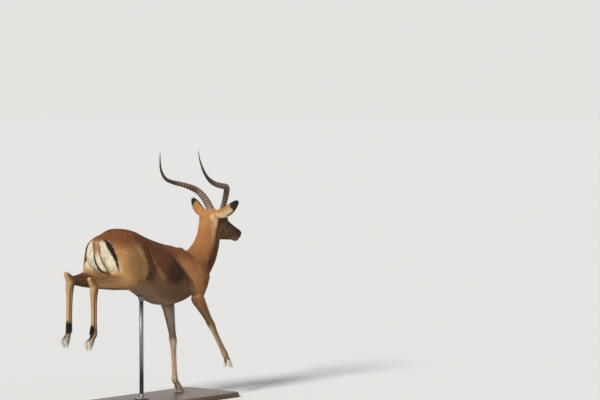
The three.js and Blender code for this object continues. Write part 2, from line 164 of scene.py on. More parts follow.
def smooth(low: float, high: float, value: Array) -> Array:
    """A soft step from 0 at `low` to 1 at `high`, which may be the smaller of the two."""
    t = np.clip((value - low) / (high - low), 0, 1)
    return t * t * (3 - 2 * t)


def blend(a: Array, b: Array, share: Array) -> Array:
    """Goes from a to b, row by row, by each row's share."""
    return a + (b - a) * np.asarray(share)[..., None]


def painted(colour: Array, *coats: tuple[Array, Array]) -> Array:
    """Paints coats over a colour in turn, each a colour and its share at each point."""
    for paint_on, share in coats:
        colour = blend(colour, paint_on, share)
    return colour


def random_numbers(salt: int) -> np.random.Generator:
    """A seeded source of random numbers, one for each use."""
    return np.random.default_rng(SEED * 1000 + salt)


def nearest_on(points: Array, line: Array) -> tuple[Array, Array, Array]:
    """Drops each point onto a line of straight lengths.

    Args:
        points: Points, (n, 3).
        line: The line's corners, (m, 3).

    Returns:
        The distance to the line, the length along it from its start, and the index of the straight
        length that is the nearest, for each point.
    """
    best = np.full(len(points), np.inf)
    reach = np.zeros(len(points))
    which = np.zeros(len(points), int)
    start = 0.0
    for index, (a, b) in enumerate(zip(line[:-1], line[1:])):
        span = b - a
        length = float(norm(span))
        t = np.clip((points - a) @ span / length**2, 0, 1)
        gap = norm(points - a - t[:, None] * span)
        nearer = gap < best
        best = np.where(nearer, gap, best)
        reach = np.where(nearer, start + t * length, reach)
        which = np.where(nearer, index, which)
        start += length
    return best, reach, which


@dataclass
class Noise:
    """Soft random values in space: a lattice of random numbers, smoothly joined, that repeats."""

    salt: int
    cells: int = 40
    lattice: Array = field(init=False)

    def __post_init__(self) -> None:
        self.lattice = random_numbers(self.salt).uniform(-1, 1, (self.cells,) * 3)

    def at(self, points: Array, size: float) -> Array:
        """Values from -1 to 1 whose lumps are `size` across.

        The value is the lattice's, carried between its corners by a soft step on each axis.
        """
        scaled = points / size
        whole = np.floor(scaled).astype(int)
        t = scaled - whole
        t = t * t * (3 - 2 * t)
        total = np.zeros(len(points))
        for corner in np.ndindex(2, 2, 2):
            i, j, k = ((whole + corner) % self.cells).T
            share = np.prod(np.where(np.array(corner) == 1, t, 1 - t), axis=1)
            total += self.lattice[i, j, k] * share
        return total

    def layered(self, points: Array, size: float) -> Array:
        """The sum of three sizes of lumps, each half as large and half as strong as the last."""
        return sum(self.at(points + 7.3 * n, size / 2**n) / 2**n for n in range(3)) / 1.75


# ---- surfaces -----------------------------------------------------------------------------------


@dataclass
class Surface:
    """Points and triangles."""

    points: Array
    faces: Array

    @staticmethod
    def join(parts: Sequence[Surface]) -> Surface:
        """All the parts as one surface."""
        starts = np.cumsum([0] + [len(part.points) for part in parts[:-1]])
        return Surface(
            np.concatenate([part.points for part in parts]),
            np.concatenate([part.faces + start for part, start in zip(parts, starts)]),
        )

    def moved(self, change: Callable[[Array], Array]) -> Surface:
        """The same faces over changed points."""
        return Surface(change(self.points), self.faces)

    def flipped(self) -> Surface:
        """The same surface with its faces the other way out."""
        return Surface(self.points, self.faces[:, ::-1])


def grid_faces(rows: int, columns: int, wrap: bool = True) -> Array:
    """Triangles over a grid of points, row after row, that may close on itself across the rows."""
    k = np.arange(columns if wrap else columns - 1)
    a = (np.arange(rows - 1)[:, None] * columns + k).ravel()
    b = (np.arange(rows - 1)[:, None] * columns + (k + 1) % columns).ravel()
    return np.concatenate([np.stack([a, b, b + columns], 1), np.stack([a, b + columns, a + columns], 1)])


def skin_over(rings: Array) -> Surface:
    """The closed surface over rings, (m, sides, 3): quads between rings and a fan at each end."""
    rows, columns = rings.shape[:2]
    points = np.concatenate([rings.reshape(-1, 3), rings[[0, -1]].mean(1)])
    k = np.arange(columns)
    after = (k + 1) % columns
    tail = (rows - 1) * columns
    first, last = rows * columns + np.zeros((2, columns), int) + [[0], [1]]
    ends = [np.stack([first, after, k], 1), np.stack([last, tail + k, tail + after], 1)]
    return Surface(points, np.concatenate([grid_faces(rows, columns), *ends]))


def level_rings(radius: Array, height: Array, sides: int) -> Array:
    """Level rings of the radii at the heights, (m, sides, 3)."""
    turn, radius = circle(sides), radius[:, None]
    return np.stack(
        [radius * np.cos(turn), radius * np.sin(turn), np.repeat(height[:, None], sides, 1)], -1
    )


def refine(rows: Array, steps: int) -> Array:
    """Adds rows between the rows, each number on a cubic through its neighbours.

    The cubic has the rows' values at its ends, and there the slope from the row before to the row
    after, over the distance between their centres.
    """
    along = lengths_along(rows[:, :3])
    low = np.maximum(np.arange(len(rows)) - 1, 0)
    high = np.minimum(np.arange(len(rows)) + 1, len(rows) - 1)
    slope = (rows[high] - rows[low]) / (along[high] - along[low])[:, None]
    t = (np.arange(steps) / steps)[None, :, None]
    span = np.diff(along)[:, None, None]
    a, b = rows[:-1, None], rows[1:, None]
    out = (
        (2 * t**3 - 3 * t**2 + 1) * a
        + (t**3 - 2 * t**2 + t) * span * slope[:-1, None]
        + (3 * t**2 - 2 * t**3) * b
        + (t**3 - t**2) * span * slope[1:, None]
    )
    return np.concatenate([out.reshape(-1, rows.shape[1]), rows[-1:]])


def bend(value: Array, power: Array) -> Array:
    """A signed power, which rounds or squares an outline."""
    return np.sign(value) * np.abs(value) ** (2 / power)


@dataclass
class Loft:
    """Rings of rounded outline along a path.

    A row is [x, y, z, over, under, width, power]: the centre, the reach to each side of it in the
    ring's depth, the half width and the outline's power, where 2 is an ellipse. All rings face
    along `along`, or along the path where it is None.
    """

    rows: Array
    along: Array | None = None
    sides: int = 48
    steps: int = 6
    least: float = 0.35  # the share of a size that an inset leaves at least

    def rings(self, inset: float = 0) -> Array:
        """The rings' points, (m, sides, 3), drawn in by `inset`.

        A point is the centre, plus the side direction times the half width times the bent cosine,
        plus the depth direction times the reach times the bent sine.
        """
        rings = refine(self.rows, self.steps)
        centres = rings[:, :3].copy()
        if self.along is None:
            padded = np.concatenate([centres[:1], centres, centres[-1:]])
            facing = unit(padded[2:] - padded[:-2])
        else:
            facing = np.broadcast_to(unit(self.along), centres.shape)
        side = sideways(facing)
        deep = np.cross(facing, side)
        centres[0] += facing[0] * inset
        centres[-1] -= facing[-1] * inset
        turn = circle(self.sides)
        power = rings[:, 6:7]
        depth = bend(np.sin(turn)[None], power)
        reach = np.where(depth > 0, rings[:, 3:4], rings[:, 4:5])
        reach = np.maximum(reach - inset, reach * self.least)
        width = np.maximum(rings[:, 5:6] - inset, rings[:, 5:6] * self.least)
        across = bend(np.cos(turn)[None], power) * width
        return (
            centres[:, None]
            + side[:, None] * across[..., None]
            + deep[:, None] * (depth * reach)[..., None]
        )

    def surface(self, inset: float = 0) -> Surface:
        """The closed surface over the rings."""
        return skin_over(self.rings(inset))


def table(text: str, power: float = 2) -> Array:
    """Rows for a loft from text, with the outline's power added where a row lacks it."""
    rows = [[float(word) for word in row.split()] for row in text.split(";")]
    return np.array([row if len(row) == 7 else [*row, power] for row in rows])


# ---- meshes -------------------------------------------------------------------------------------


def new_mesh(name: str, points: Array, faces: Array) -> Mesh:
    """A smooth-shaded mesh from points in metres and faces of one size."""
    mesh = bpy.data.meshes.new(name)
    mesh.vertices.add(len(points))
    mesh.vertices.foreach_set("co", np.ascontiguousarray(points, np.float32).ravel())
    mesh.loops.add(faces.size)
    mesh.loops.foreach_set("vertex_index", np.ascontiguousarray(faces, np.int32).ravel())
    mesh.polygons.add(len(faces))
    starts = np.arange(0, faces.size, faces.shape[1], dtype=np.int32)
    mesh.polygons.foreach_set("loop_start", starts)
    mesh.update(calc_edges=True)
    mesh.shade_smooth()
    return mesh


def new_object(data: bpy.types.ID) -> Object:
    """An object of the mesh's, lamp's or camera's name, in the scene."""
    thing = bpy.data.objects.new(data.name, data)
    bpy.context.scene.collection.objects.link(thing)
    return thing


def read(items: bpy.types.bpy_prop_collection, key: str, width: int, kind: type = np.float32) -> Array:
    """One property of all the items, (n, width)."""
    flat = np.empty(len(items) * width, kind)
    items.foreach_get(key, flat)
    return flat.reshape(-1, width)


def points_of(mesh: Mesh) -> Array:
    """A mesh's points, (n, 3)."""
    return read(mesh.vertices, "co", 3).astype(float)


def set_points(mesh: Mesh, points: Array) -> None:
    """Moves a mesh's points."""
    mesh.vertices.foreach_set("co", points.astype(np.float32).ravel())
    mesh.update()


def normals_of(mesh: Mesh) -> Array:
    """A mesh's directions out of the surface at its points, (n, 3)."""
    return read(mesh.vertex_normals, "vector", 3).astype(float)


def edges_of(mesh: Mesh) -> Array:
    """A mesh's edges, (m, 2)."""
    return read(mesh.edges, "vertices", 2, np.int32)


def triangles_of(mesh: Mesh) -> Array:
    """A mesh's triangles, (m, 3)."""
    mesh.calc_loop_triangles()
    return read(mesh.loop_triangles, "vertices", 3, np.int32)


def with_modifiers(mesh: Mesh, steps: Iterable[dict], groups: dict | None = None) -> Mesh:
    """The mesh after some modifiers.

    Args:
        mesh: The mesh, which is used up.
        steps: For each modifier, its type under "type" and its settings.
        groups: Weights of the points for each named vertex group.

    Returns:
        A new mesh.
    """
    thing = new_object(mesh)
    for name, weights in (groups or {}).items():
        group = thing.vertex_groups.new(name=name)
        for value in np.unique(weights):
            group.add(np.flatnonzero(weights == value).tolist(), float(value), "REPLACE")
    for settings in steps:
        modifier = thing.modifiers.new("step", settings["type"])
        for key, value in settings.items():
            if key != "type":
                setattr(modifier, key, value)
    shape = thing.evaluated_get(bpy.context.evaluated_depsgraph_get())
    result = bpy.data.meshes.new_from_object(shape)
    bpy.data.objects.remove(thing)
    bpy.data.meshes.remove(mesh)
    return result


def relax(
    points: Array, edges: Array, rounds: int, pull: float, push: float = 0, where: Array | None = None,
) -> Array:
    """Smooths points towards the mean of their neighbours.

    Args:
        points: Points, (n, 3).
        edges: The pairs of neighbours, (m, 2).
        rounds: How many times to smooth.
        pull: The share of the way that a point moves towards the mean.
        push: The share that it moves back afterwards, which keeps the volume.
        where: The strength at each point.

    Returns:
        The smoothed points.
    """
    a, b = edges.T
    count = len(points)
    neighbours = np.maximum(np.bincount(a, minlength=count) + np.bincount(b, minlength=count), 1)
    strength = np.ones(count) if where is None else where
    points = points.copy()
    for _ in range(rounds):
        for step in (pull, -push) if push else (pull,):
            for axis in range(3):
                values = points[:, axis]
                total = np.bincount(a, values[b], count) + np.bincount(b, values[a], count)
                points[:, axis] += strength * step * (total / neighbours - values)
    return points


def set_colour(mesh: Mesh, name: str, colours: Array) -> None:
    """Stores a colour for each point, from (n, 3) linear values."""
    layer = mesh.attributes.new(name, "FLOAT_COLOR", "POINT")
    rgba = np.ones((len(colours), 4), np.float32)
    rgba[:, :3] = np.clip(colours, 0, 1)
    layer.data.foreach_set("color", rgba.ravel())


def with_ends(values: Array, ends: tuple[float, float] = (0, 1)) -> Array:
    """A number for each point of skinned rings, with one for each end's middle."""
    return np.concatenate([values.ravel(), ends])


def set_value(mesh: Mesh, name: str, values: Array) -> None:
    """Stores a number for each point."""
    layer = mesh.attributes.new(name, "FLOAT", "POINT")
    layer.data.foreach_set("value", values.astype(np.float32))


def set_uv(mesh: Mesh, name: str, places: Array) -> None:
    """Stores a place on the flat for each face corner, (loops, 2)."""
    layer = mesh.uv_layers.new(name=name)
    layer.uv.foreach_set("vector", places.astype(np.float32).ravel())


# ---- the ram's build ----------------------------------------------------------------------------

BOARD_CENTRE_X = 75.0  # where the board's middle lies in the ram's frame
BOARD_TOP = -20.35  # the board's top in the ram's frame


@dataclass
class Place:
    """Where the ram's own frame lies in the row's frame, worked out from the board's node."""

    shift: Array = field(init=False)

    def __post_init__(self) -> None:
        low, high = np.array(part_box("stand_base"))
        middle = (low + high) / 2
        self.shift = vec(middle[0] - BOARD_CENTRE_X * MM, middle[1], high[2] - BOARD_TOP * MM)

    def to_row(self, points: Array) -> Array:
        """Millimetres in the ram's frame to metres in the row's."""
        return points * MM + self.shift

    def to_ram(self, points: Array) -> Array:
        """Metres in the row's frame to millimetres in the ram's."""
        return (points - self.shift) / MM


@dataclass
class Turned:
    """A frame that is turned by yaw, then pitch, then roll, in degrees, and set at a place."""

    at: Triple
    yaw: float = 0
    pitch: float = 0
    roll: float = 0
    axes: Array = field(init=False)

    def __post_init__(self) -> None:
        (cz, sz), (cy, sy), (cx, sx) = (
            (math.cos(math.radians(angle)), math.sin(math.radians(angle)))
            for angle in (self.yaw, self.pitch, self.roll)
        )
        about_z = np.array([[cz, -sz, 0], [sz, cz, 0], [0, 0, 1]])
        about_y = np.array([[cy, 0, sy], [0, 1, 0], [-sy, 0, cy]])
        about_x = np.array([[1, 0, 0], [0, cx, -sx], [0, sx, cx]])
        self.axes = about_z @ about_y @ about_x

    def out(self, local: Array) -> Array:
        """From this frame to the ram's."""
        return local @ self.axes.T + vec(*self.at)

    def into(self, points: Array) -> Array:
        """From the ram's frame to this one."""
        return (points - vec(*self.at)) @ self.axes

    def turn(self, directions: Array) -> Array:
        """Directions from this frame to the ram's."""
        return directions @ self.axes.T


HEAD = Turned((534, -7, 1004), yaw=-9, pitch=22, roll=-6)


def on_head(points: Array) -> Array:
    """How far each point of the ram's frame belongs to the head, from 0 to 1."""
    x, _, z = HEAD.into(points).T
    muzzle = smooth(96, 126, x) * smooth(-122, -106, z)
    return smooth(-6, 26, x) * np.maximum(smooth(870, 905, points[:, 2]), muzzle)


@dataclass(frozen=True)
class Leg:
    """One leg's joints, with y as the distance from the middle, and how far its foot is tipped."""

    side: Side
    fore: bool
    joints: str  # each joint's name and place
    pitch: float

    def joint(self, name: str) -> Array:
        """A joint's place in the ram's frame."""
        places = {word: vec(*numbers) for word, *numbers in named_rows(self.joints, 1)}
        return places[name] * vec(1, self.side.value, 1)

    def between(self, start: str, end: str, share: float) -> Array:
        """A point part of the way from one joint to another."""
        return self.joint(start) + share * (self.joint(end) - self.joint(start))

    @property
    def foot(self) -> Turned:
        """The foot's frame: its origin at the top of the hoof, x to the toe, z square to the sole."""
        frame_at_fetlock = Turned((0, 0, 0), pitch=self.pitch)
        start = self.joint("fetlock") + frame_at_fetlock.turn(-FETLOCK_AT)
        return Turned(tuple(start), pitch=self.pitch)

    @property
    def name(self) -> str:
        """Such as fore_left."""
        return f"{'fore' if self.fore else 'hind'}_{self.side.label}"

    @property
    def bones(self) -> list[tuple[str, str]]:
        """The pairs of joints down the leg, below the body."""
        upper, middle = ("elbow", "knee") if self.fore else ("stifle", "hock")
        return [(upper, middle), (middle, "fetlock")]


FETLOCK_AT = vec(-30, 0, 42)
LEGS = [
    Leg(Side.LEFT, True, "top 234 44 840; elbow 315 105 500; knee 336 86 284; fetlock 325 62 54", 0),
    Leg(Side.RIGHT, True, "top 236 44 840; elbow 338 106 540; knee 475 86 380; fetlock 615 75 191", 9),
    Leg(
        Side.LEFT, False, "stifle -266 130 650; hock -526 94 683; heel -556 96 729; fetlock -547 83 407", 59,
    ),
    Leg(
        Side.RIGHT, False, "stifle -270 133 657; hock -533 97 668; heel -573 100 708; fetlock -518 82 394", 70,
    ),
]

TRUNK = table("""
    -452 0 846 16 26 18; -440 0 842 54 60 52; -408 0 836 92 92 84; -345 0 828 122 128 110 2.1;
    -275 0 814 157 150 123 2.1; -205 0 795 176 152 122 2.1; -135 0 772 186 155 118 2.1;
    -65 0 738 195 158 124 2.1; 0 0 706 202 160 132 2.1; 70 0 690 196 170 136 2.1;
    140 0 680 187 170 132 2.1; 210 0 676 178 168 121 2.05; 280 0 677 157 163 108; 345 0 682 134 150 96;
    405 0 690 104 126 82; 455 0 688 64 88 62; 485 0 684 22 40 30
""")
NECK = table("""
    330 0 700 92 60 82; 385 0 716 90 88 88; 440 0 745 88 118 84; 485 0 786 80 118 74;
    518 -1 838 72 112 62; 543 -3 894 74 100 55; 562 -5 945 83 82 56; 576 -8 985 97 60 61;
    586 -10 1018 70 30 50
""")
SKULL = table("""
    -4 0 6 26 26 24; 16 0 4 48 48 40; 48 0 2 60 74 46; 80 0 0 57 94 48 2.1; 108 0 -2 50 99 46 2.1;
    136 0 -4 41 92 39 2.1; 166 0 -6 34 80 33 2.1; 198 0 -8 28 67 29 2.2; 228 0 -10 24 56 28 2.2;
    250 0 -12 21 47 29 2.3; 265 0 -15 17 35 25 2.2; 274 0 -20 8 18 13
""")
TAIL = table("""
    -408 -3 916 12 12 15; -432 -14 908 13 13 17; -446 -32 884 12 13 20; -451 -38 848 11 12 23;
    -452 -46 810 10 12 25; -451 -62 779 9 11 24; -450 -77 761 8 9 21; -449 -95 750 5 6 14;
    -448 -107 746 2 2 5
""")
THIGH = table("""
    -300 52 938 36 42 24; -300 68 905 82 74 45; -296 80 855 124 104 57; -292 88 800 150 114 61;
    -287 93 752 148 120 59; -278 102 710 122 120 54; -268 112 674 74 108 46; -264 120 646 40 84 36;
    -266 124 630 18 44 20
""")
# Shoulder and upper arm: [share of the way from the top to the elbow, x shift, y, front, back, width].
SHOULDER = rows_of("""
    0 -8 44 22 34 18; 0.1 -8 60 54 80 33; 0.26 0 77 96 106 40; 0.42 12 88 124 110 42;
    0.56 20 94 138 102 43; 0.7 16 99 112 86 41; 0.82 10 103 84 66 37; 0.92 4 105 60 46 31;
    1 0 106 42 34 26
""")
# Lower legs: [from, to, share of the way, front, back, width].
FORE_SHANK = named_rows("""
    elbow knee -0.16 34 33 25; elbow knee 0 40 45 29; elbow knee 0.25 34 38 27; elbow knee 0.5 27 30 23;
    elbow knee 0.8 21.5 23 19.5; elbow knee 1 21.5 24 20.5; knee fetlock 0.13 18.5 20.5 17.5;
    knee fetlock 0.32 15.5 18 14.5; knee fetlock 0.7 14.5 17.5 13.5; knee fetlock 0.9 16 19.5 15.5
""", 2)
HIND_SHANK = named_rows("""
    heel hock -0.12 8 9 9; heel hock 0.12 16 15 15; heel hock 0.5 26 20 18; heel hock 1 30 26 21;
    hock fetlock 0.14 23 28 20; hock fetlock 0.32 18 24 16; hock fetlock 0.68 16 21 15;
    hock fetlock 0.9 17 21 16.5
""", 2)
# The gaskin: [share from the stifle to the hock, rise, lower side, upper side, width].
GASKIN = rows_of("""
    -0.1 6 24 40 28; 0.08 8 34 66 38; 0.3 6 32 74 37; 0.52 2 27 60 29; 0.74 0 21 44 21; 0.92 2 19 34 19;
    1.04 6 15 22 17
""")
# From the fetlock into the hoof, in the foot's frame: [x, z, front, back, width].
PASTERN = rows_of("-30 42 17 21 17; -17 24 15 17 15.5; -5 7 18 19 18; 2 -8 15 17 15")


@dataclass
class Flesh:
    """The lofts of the flesh, each drawn in by the depth of the coat over it."""

    body_depth: float = 5.0
    leg_depth: float = 0.4
    face_depth: float = 1.6
    tail_depth: float = 5.0

    def thigh(self, leg: Leg) -> Surface:
        """The thigh, from the croup to the stifle."""
        return Loft(THIGH * vec(1, leg.side.value, 1, 1, 1, 1, 1), vec(0, 0, -1)).surface(self.body_depth)

    def shoulder(self, leg: Leg) -> Surface:
        """The shoulder blade and upper arm."""
        flat, side = vec(1, 0, 1), leg.side.value
        rows = [
            [*(leg.between("top", "elbow", share) * flat + vec(shift, y * side, 0)), *reach, 2]
            for share, shift, y, *reach in SHOULDER
        ]
        return Loft(np.array(rows), vec(0, 0, -1)).surface(self.body_depth * 0.8)

    def gaskin(self, leg: Leg) -> Surface:
        """The lower thigh, from the stifle to the hock."""
        rows = [
            [*(leg.between("stifle", "hock", share) + vec(0, 0, rise)), *reach, 2]
            for share, rise, *reach in GASKIN
        ]
        return Loft(np.array(rows)).surface(self.leg_depth)

    def shank(self, leg: Leg) -> Surface:
        """The leg below the elbow or from the heel down, into the hoof."""
        shank = FORE_SHANK if leg.fore else HIND_SHANK
        rows = [[*leg.between(start, end, share), *reach, 2] for start, end, share, *reach in shank]
        rows += [[*leg.foot.out(vec(x, 0, z)), *reach, 2] for x, z, *reach in PASTERN]
        return Loft(np.array(rows)).surface(self.leg_depth)

    def core(self) -> Surface:
        """The body, neck, shoulders and thighs."""
        parts = [
            Loft(TRUNK, vec(1, 0, 0), sides=72).surface(self.body_depth),
            Loft(NECK).surface(self.body_depth * 0.7),
        ]
        for leg in LEGS:
            parts += [self.shoulder(leg)] if leg.fore else [self.thigh(leg), self.gaskin(leg)]
        return Surface.join(parts)

    def fine(self) -> Surface:
        """The head, lower legs, tail and the roots of the ears."""
        skull = Loft(SKULL, vec(1, 0, 0)).surface(self.face_depth)
        parts = [skull.moved(HEAD.out), Loft(TAIL).surface(self.tail_depth)]
        parts += [self.shank(leg) for leg in LEGS]
        for side in Side:
            rim = ball(ORBIT * vec(1, side.value, 1), ORBIT_RADII - self.face_depth)
            bulb = ball(EAR_BULB * vec(1, side.value, 1), EAR_BULB_RADII - self.face_depth)
            parts += [rim.moved(HEAD.out), bulb.moved(HEAD.out), Ear(side).stalk()]
        return Surface.join(parts)


ORBIT = vec(104, 32, 17)
ORBIT_RADII = vec(29, 21, 21)
EYE_AT = vec(106, 40, 17)
EYE_RADIUS = 16.0
NOSTRIL_AT = vec(258, 18, -24)
EAR_BULB = vec(10, 46, 12)
EAR_BULB_RADII = vec(20, 16, 22)


def ball(at: Array, radii: Array, rows: int = 24, columns: int = 32) -> Surface:
    """A ball stretched to three radii: circles of latitude from pole to pole along z."""
    latitude = np.linspace(-np.pi / 2, np.pi / 2, rows + 2)[1:-1]
    surface = skin_over(level_rings(np.cos(latitude), np.sin(latitude), columns))
    return surface.moved(lambda points: points * radii + at)


@dataclass
class Ear:
    """One ear: a leaf rolled into a cup that opens forwards, thin at its rim."""

    side: Side
    root: Triple = (12, 46, 19)
    half_width: float = 44
    wall: float = 4.0
    sag: float = 12
    rows: int = 52
    columns: int = 36

    @property
    def tip(self) -> Array:
        """The tip in the head's frame."""
        return vec(-8, 153, 116) if self.side is Side.LEFT else vec(86, -152, 108)

    @property
    def roll(self) -> tuple[float, float]:
        """The rolled arc's half angle at the root and at the tip."""
        return (1.75, 1.25) if self.side is Side.LEFT else (1.4, 0.45)

    @property
    def base(self) -> Array:
        """The root in the head's frame."""
        return vec(*self.root) * vec(1, self.side.value, 1)

    def spine(self, share: Array) -> tuple[Array, Array, Array, Array, Array]:
        """The leaf's middle line and directions, in the head's frame.

        Args:
            share: Shares of the way from the root to the tip.

        Returns:
            The centres of the rolled arcs, the direction ahead, the direction across, the arcs'
            half angles and their radii.
        """
        long = self.tip - self.base
        facing = unit(long)
        ahead = vec(1, 0, 0.1)
        ahead = unit(ahead - facing * (ahead @ facing))
        across = np.cross(ahead, facing)
        leaf = np.sin(np.pi * (0.3 + 0.69 * share) ** 1.35) ** 0.52
        cup = self.roll[0] + (self.roll[1] - self.roll[0]) * share**0.8
        radius = leaf * self.half_width / cup
        arch = np.sin(np.pi * share)
        middle = 10 if self.side is Side.RIGHT else -4
        forward = middle * arch - 6 * share + 0.75 * radius
        centre = self.base + long * share[:, None] + ahead * forward[:, None]
        return centre - across * (self.side.value * self.sag * arch)[:, None], ahead, across, cup, radius

    def sheet(self, share: Array, turn: Array, offset: Array) -> Array:
        """Points of the leaf.

        A point lies on the arc of its share, at a part `turn` from -1 to 1 of the half angle, and
        `offset` outside the arc's radius.
        """
        centre, ahead, across, cup, radius = self.spine(share)
        angle = turn * cup
        reach = (radius + offset)[:, None]
        return centre + across * np.sin(angle)[:, None] * reach - ahead * np.cos(angle)[:, None] * reach

    def thickness(self, share: Array, turn: Array) -> Array:
        """Half the wall, which thins to the rim and the tip."""
        wall = self.wall * (1.2 - 0.6 * share)
        return wall / 2 * np.sqrt(np.clip(1 - turn**2, 0, 1)) ** 0.7 + 0.35

    def rings(self) -> tuple[Array, Array, Array]:
        """The leaf's rings, with each point's share along and turn; inner points come last."""
        share = np.linspace(0, 1, self.rows)
        turn = np.sin(np.linspace(-1, 1, self.columns) * np.pi / 2)
        s, t = (grid.ravel() for grid in np.meshgrid(share, turn, indexing="ij"))
        half = self.thickness(s, t)
        shape = (self.rows, self.columns, 3)
        outer = self.sheet(s, t, half).reshape(shape)
        inner = self.sheet(s, t, -half).reshape(shape)[:, ::-1]
        rings = np.concatenate([outer, inner], axis=1)
        shares = np.repeat(share[:, None], 2 * self.columns, axis=1)
        turns = np.broadcast_to(np.concatenate([turn, turn[::-1] + 10]), shares.shape)
        return rings, shares, turns

    def stalk(self) -> Surface:
        """The thick root of the ear, which belongs to the skin."""
        share = vec(-0.1, 0.0, 0.1, 0.2)
        middle, ahead, _, _, radius = self.spine(np.clip(share, 0, 1))
        middle = middle - ahead * (radius * 0.35)[:, None]
        middle[0] = self.base - (self.tip - self.base) * 0.1
        size = np.array([17, 18, 15, 8])[:, None]
        rows = np.concatenate([middle, size, size, size, np.full((4, 1), 2)], axis=1)
        return Loft(rows, unit(self.tip - self.base)).surface().moved(HEAD.out)


# ---- the skin -----------------------------------------------------------------------------------


FOLD_REACH = 3.2  # widths beyond which a fold moves nothing


@dataclass(frozen=True)
class Fold:
    """A soft ridge or groove pressed into the skin along a line.

    The skin moves along its own direction by `height` times a bell curve of the distance to the
    line, `width` being the curve's standard deviation. A paired fold is made on both sides.
    """

    line: Array
    width: float
    height: float
    paired: bool = True

    def press(self, points: Array) -> Array:
        """How far each point moves."""
        total = np.zeros(len(points))
        for sign in (1, -1) if self.paired else (1,):
            line = self.line * vec(1, sign, 1)
            if len(line) == 1:
                line = np.concatenate([line, line + 0.01])
            reach = FOLD_REACH * self.width
            near = np.all((points > line.min(0) - reach) & (points < line.max(0) + reach), axis=1)
            gap, _, _ = nearest_on(points[near], line)
            total[near] += self.height * np.exp(-0.5 * (gap / self.width) ** 2)
        return total


def folds(text: str) -> list[Fold]:
    """Folds from text, one to a line: how many sides, the width, the height and the line's points."""
    rows = [vec(*map(float, row.split("#")[0].split())) for row in text.splitlines()]
    return [Fold(row[3:].reshape(-1, 3), row[1], row[2], row[0] > 1) for row in rows if len(row)]


BODY_FOLDS = [
    *folds("""
    # the front edge of the thigh and the flank's fold down to the stifle
    2 9 -9  -112 92 905  -119 106 847  -108 118 778  -93 119 722  -104 104 676  -132 84 640
    2 15 5  -160 98 880  -152 118 830  -142 124 770  -148 126 715  -180 124 676
    2 9 4  -61 104 832  -44 118 775  -10 126 716  23 124 680  # the flank's loose skin
    2 9 -4  -84 104 826  -72 118 775  -52 124 726
    2 9 4  -70 122 706  -92 112 668  -126 88 632
    2 34 -8  -110 100 866  -70 112 836  # the hollow behind the last rib
    2 20 6  -196 80 930  -180 98 912  # the point of the hip
    2 22 -3  -330 62 940  -384 66 900
    2 14 2.5  -300 30 975  -210 34 968  -100 34 946
    # the seam between the muscles at the back of the thigh
    2 8 -4  -352 96 905  -366 118 850  -362 132 795  -352 138 745  -352 128 705
    2 26 4  -300 118 880  -296 142 800  -300 148 740
    2 20 3  -412 56 880  -420 72 830  -408 90 780
    2 20 7  -262 142 648  # the knee cap
    2 10 -3  -300 136 690  -360 124 690  -420 112 690
    """),
    # the ribs and the edge of the chest
    *(
        Fold(
            rows_of(f"{x} 104 {800 + 0.1 * x}; {x + 22} 128 725; {x + 52} 120 640; {x + 86} 92 580"), 6.5,
            1.5,
        )
        for x in range(-58, 123, 36)
    ),
    *folds("""
    2 15 -3.5  -56 118 716  -6 126 650  54 112 600  120 92 556
    # the shoulder: its rear edge, blade, point and the muscle behind the arm
    2 9 -7  96 60 838  128 92 800  160 112 756  204 122 712  243 128 652  274 126 590  298 112 540
    2 11 4  240 62 838  262 96 770  296 120 700  330 126 640
    2 18 3  214 84 800  238 112 730
    2 10 -3  282 104 770  318 124 700
    2 18 6  264 124 645  292 128 590
    2 22 7  356 104 648
    2 9 -4  330 126 610  352 118 570
    2 20 5  430 30 640  452 34 700
    # creases where the neck is bent on the shoulders
    2 8 -5  304 62 812  332 76 797  375 88 771  409 90 747  447 84 721
    2 8 -3.5  392 34 842  416 70 800  446 86 760
    2 9 3  300 50 790  350 84 766  392 94 738
    2 25 7  475 60 688
    # the neck: the groove beside the windpipe and the muscle along its side
    2 9 -6  596 34 912  580 50 862  548 62 812  500 74 756  452 74 700
    2 16 4  546 44 952  530 58 890  500 66 836  456 82 780
    2 16 3.5  620 8 900  604 8 850  570 8 790  520 8 725
    2 12 2  500 22 960  470 22 900  430 26 846
    # between the hams, and the midline of chest and belly
    1 13 -16  -452 0 850  -446 0 800  -430 0 740  -380 0 700
    1 12 -5  420 0 600  380 0 560  330 0 530
    1 14 4  250 0 505  160 0 505  60 0 520
    """),
]

HEAD_FOLDS = folds("""
    2 9 -3  138 30 12  170 26 8  205 22 4
    2 6 2.5  112 44 -14  140 36 -22  172 29 -28  # the crest of the cheek
    2 18 5  64 44 -30  78 46 -58  # the jaw's muscle
    2 8 -3  34 38 -36  50 42 -66  78 40 -88
    2 7 -3  104 44 -56  138 34 -62  180 26 -58
    2 8 2  110 32 -88  150 24 -80  190 17 -68  # the edge of the jaw
    2 10 -4  76 40 36  64 42 20  # the temple
    2 6 3.5  84 40 38  104 46 41  124 42 34  # the brow
    2 6 -3  128 42 2  144 36 -8
    1 10 1.5  92 0 54  120 0 47  170 0 27  220 0 15
    1 14 -2.5  60 0 58  96 0 57
    2 15 3  60 27 38  # the swelling under the horn
    2 9 2.5  226 25 -22  250 25 -24  # the upper lip
    2 9 3.5  242 8 -60  256 0 -52  # the chin
    2 8 1.5  200 24 -46  226 24 -48
    2 2.4 -4.5  268 10 -40  256 22 -41  236 27 -41  212 28 -37  196 27 -33  # the mouth
    2 2.6 -8  256 23 -8  264 20 -14  268 15 -22  # the nostril
    2 4.5 2.6  250 25 -6  262 24 -6  272 18 -12
    2 4 1.5  272 6 -24  268 22 -28
    1 1.8 -2.5  276 0 -16  274 0 -34
""")


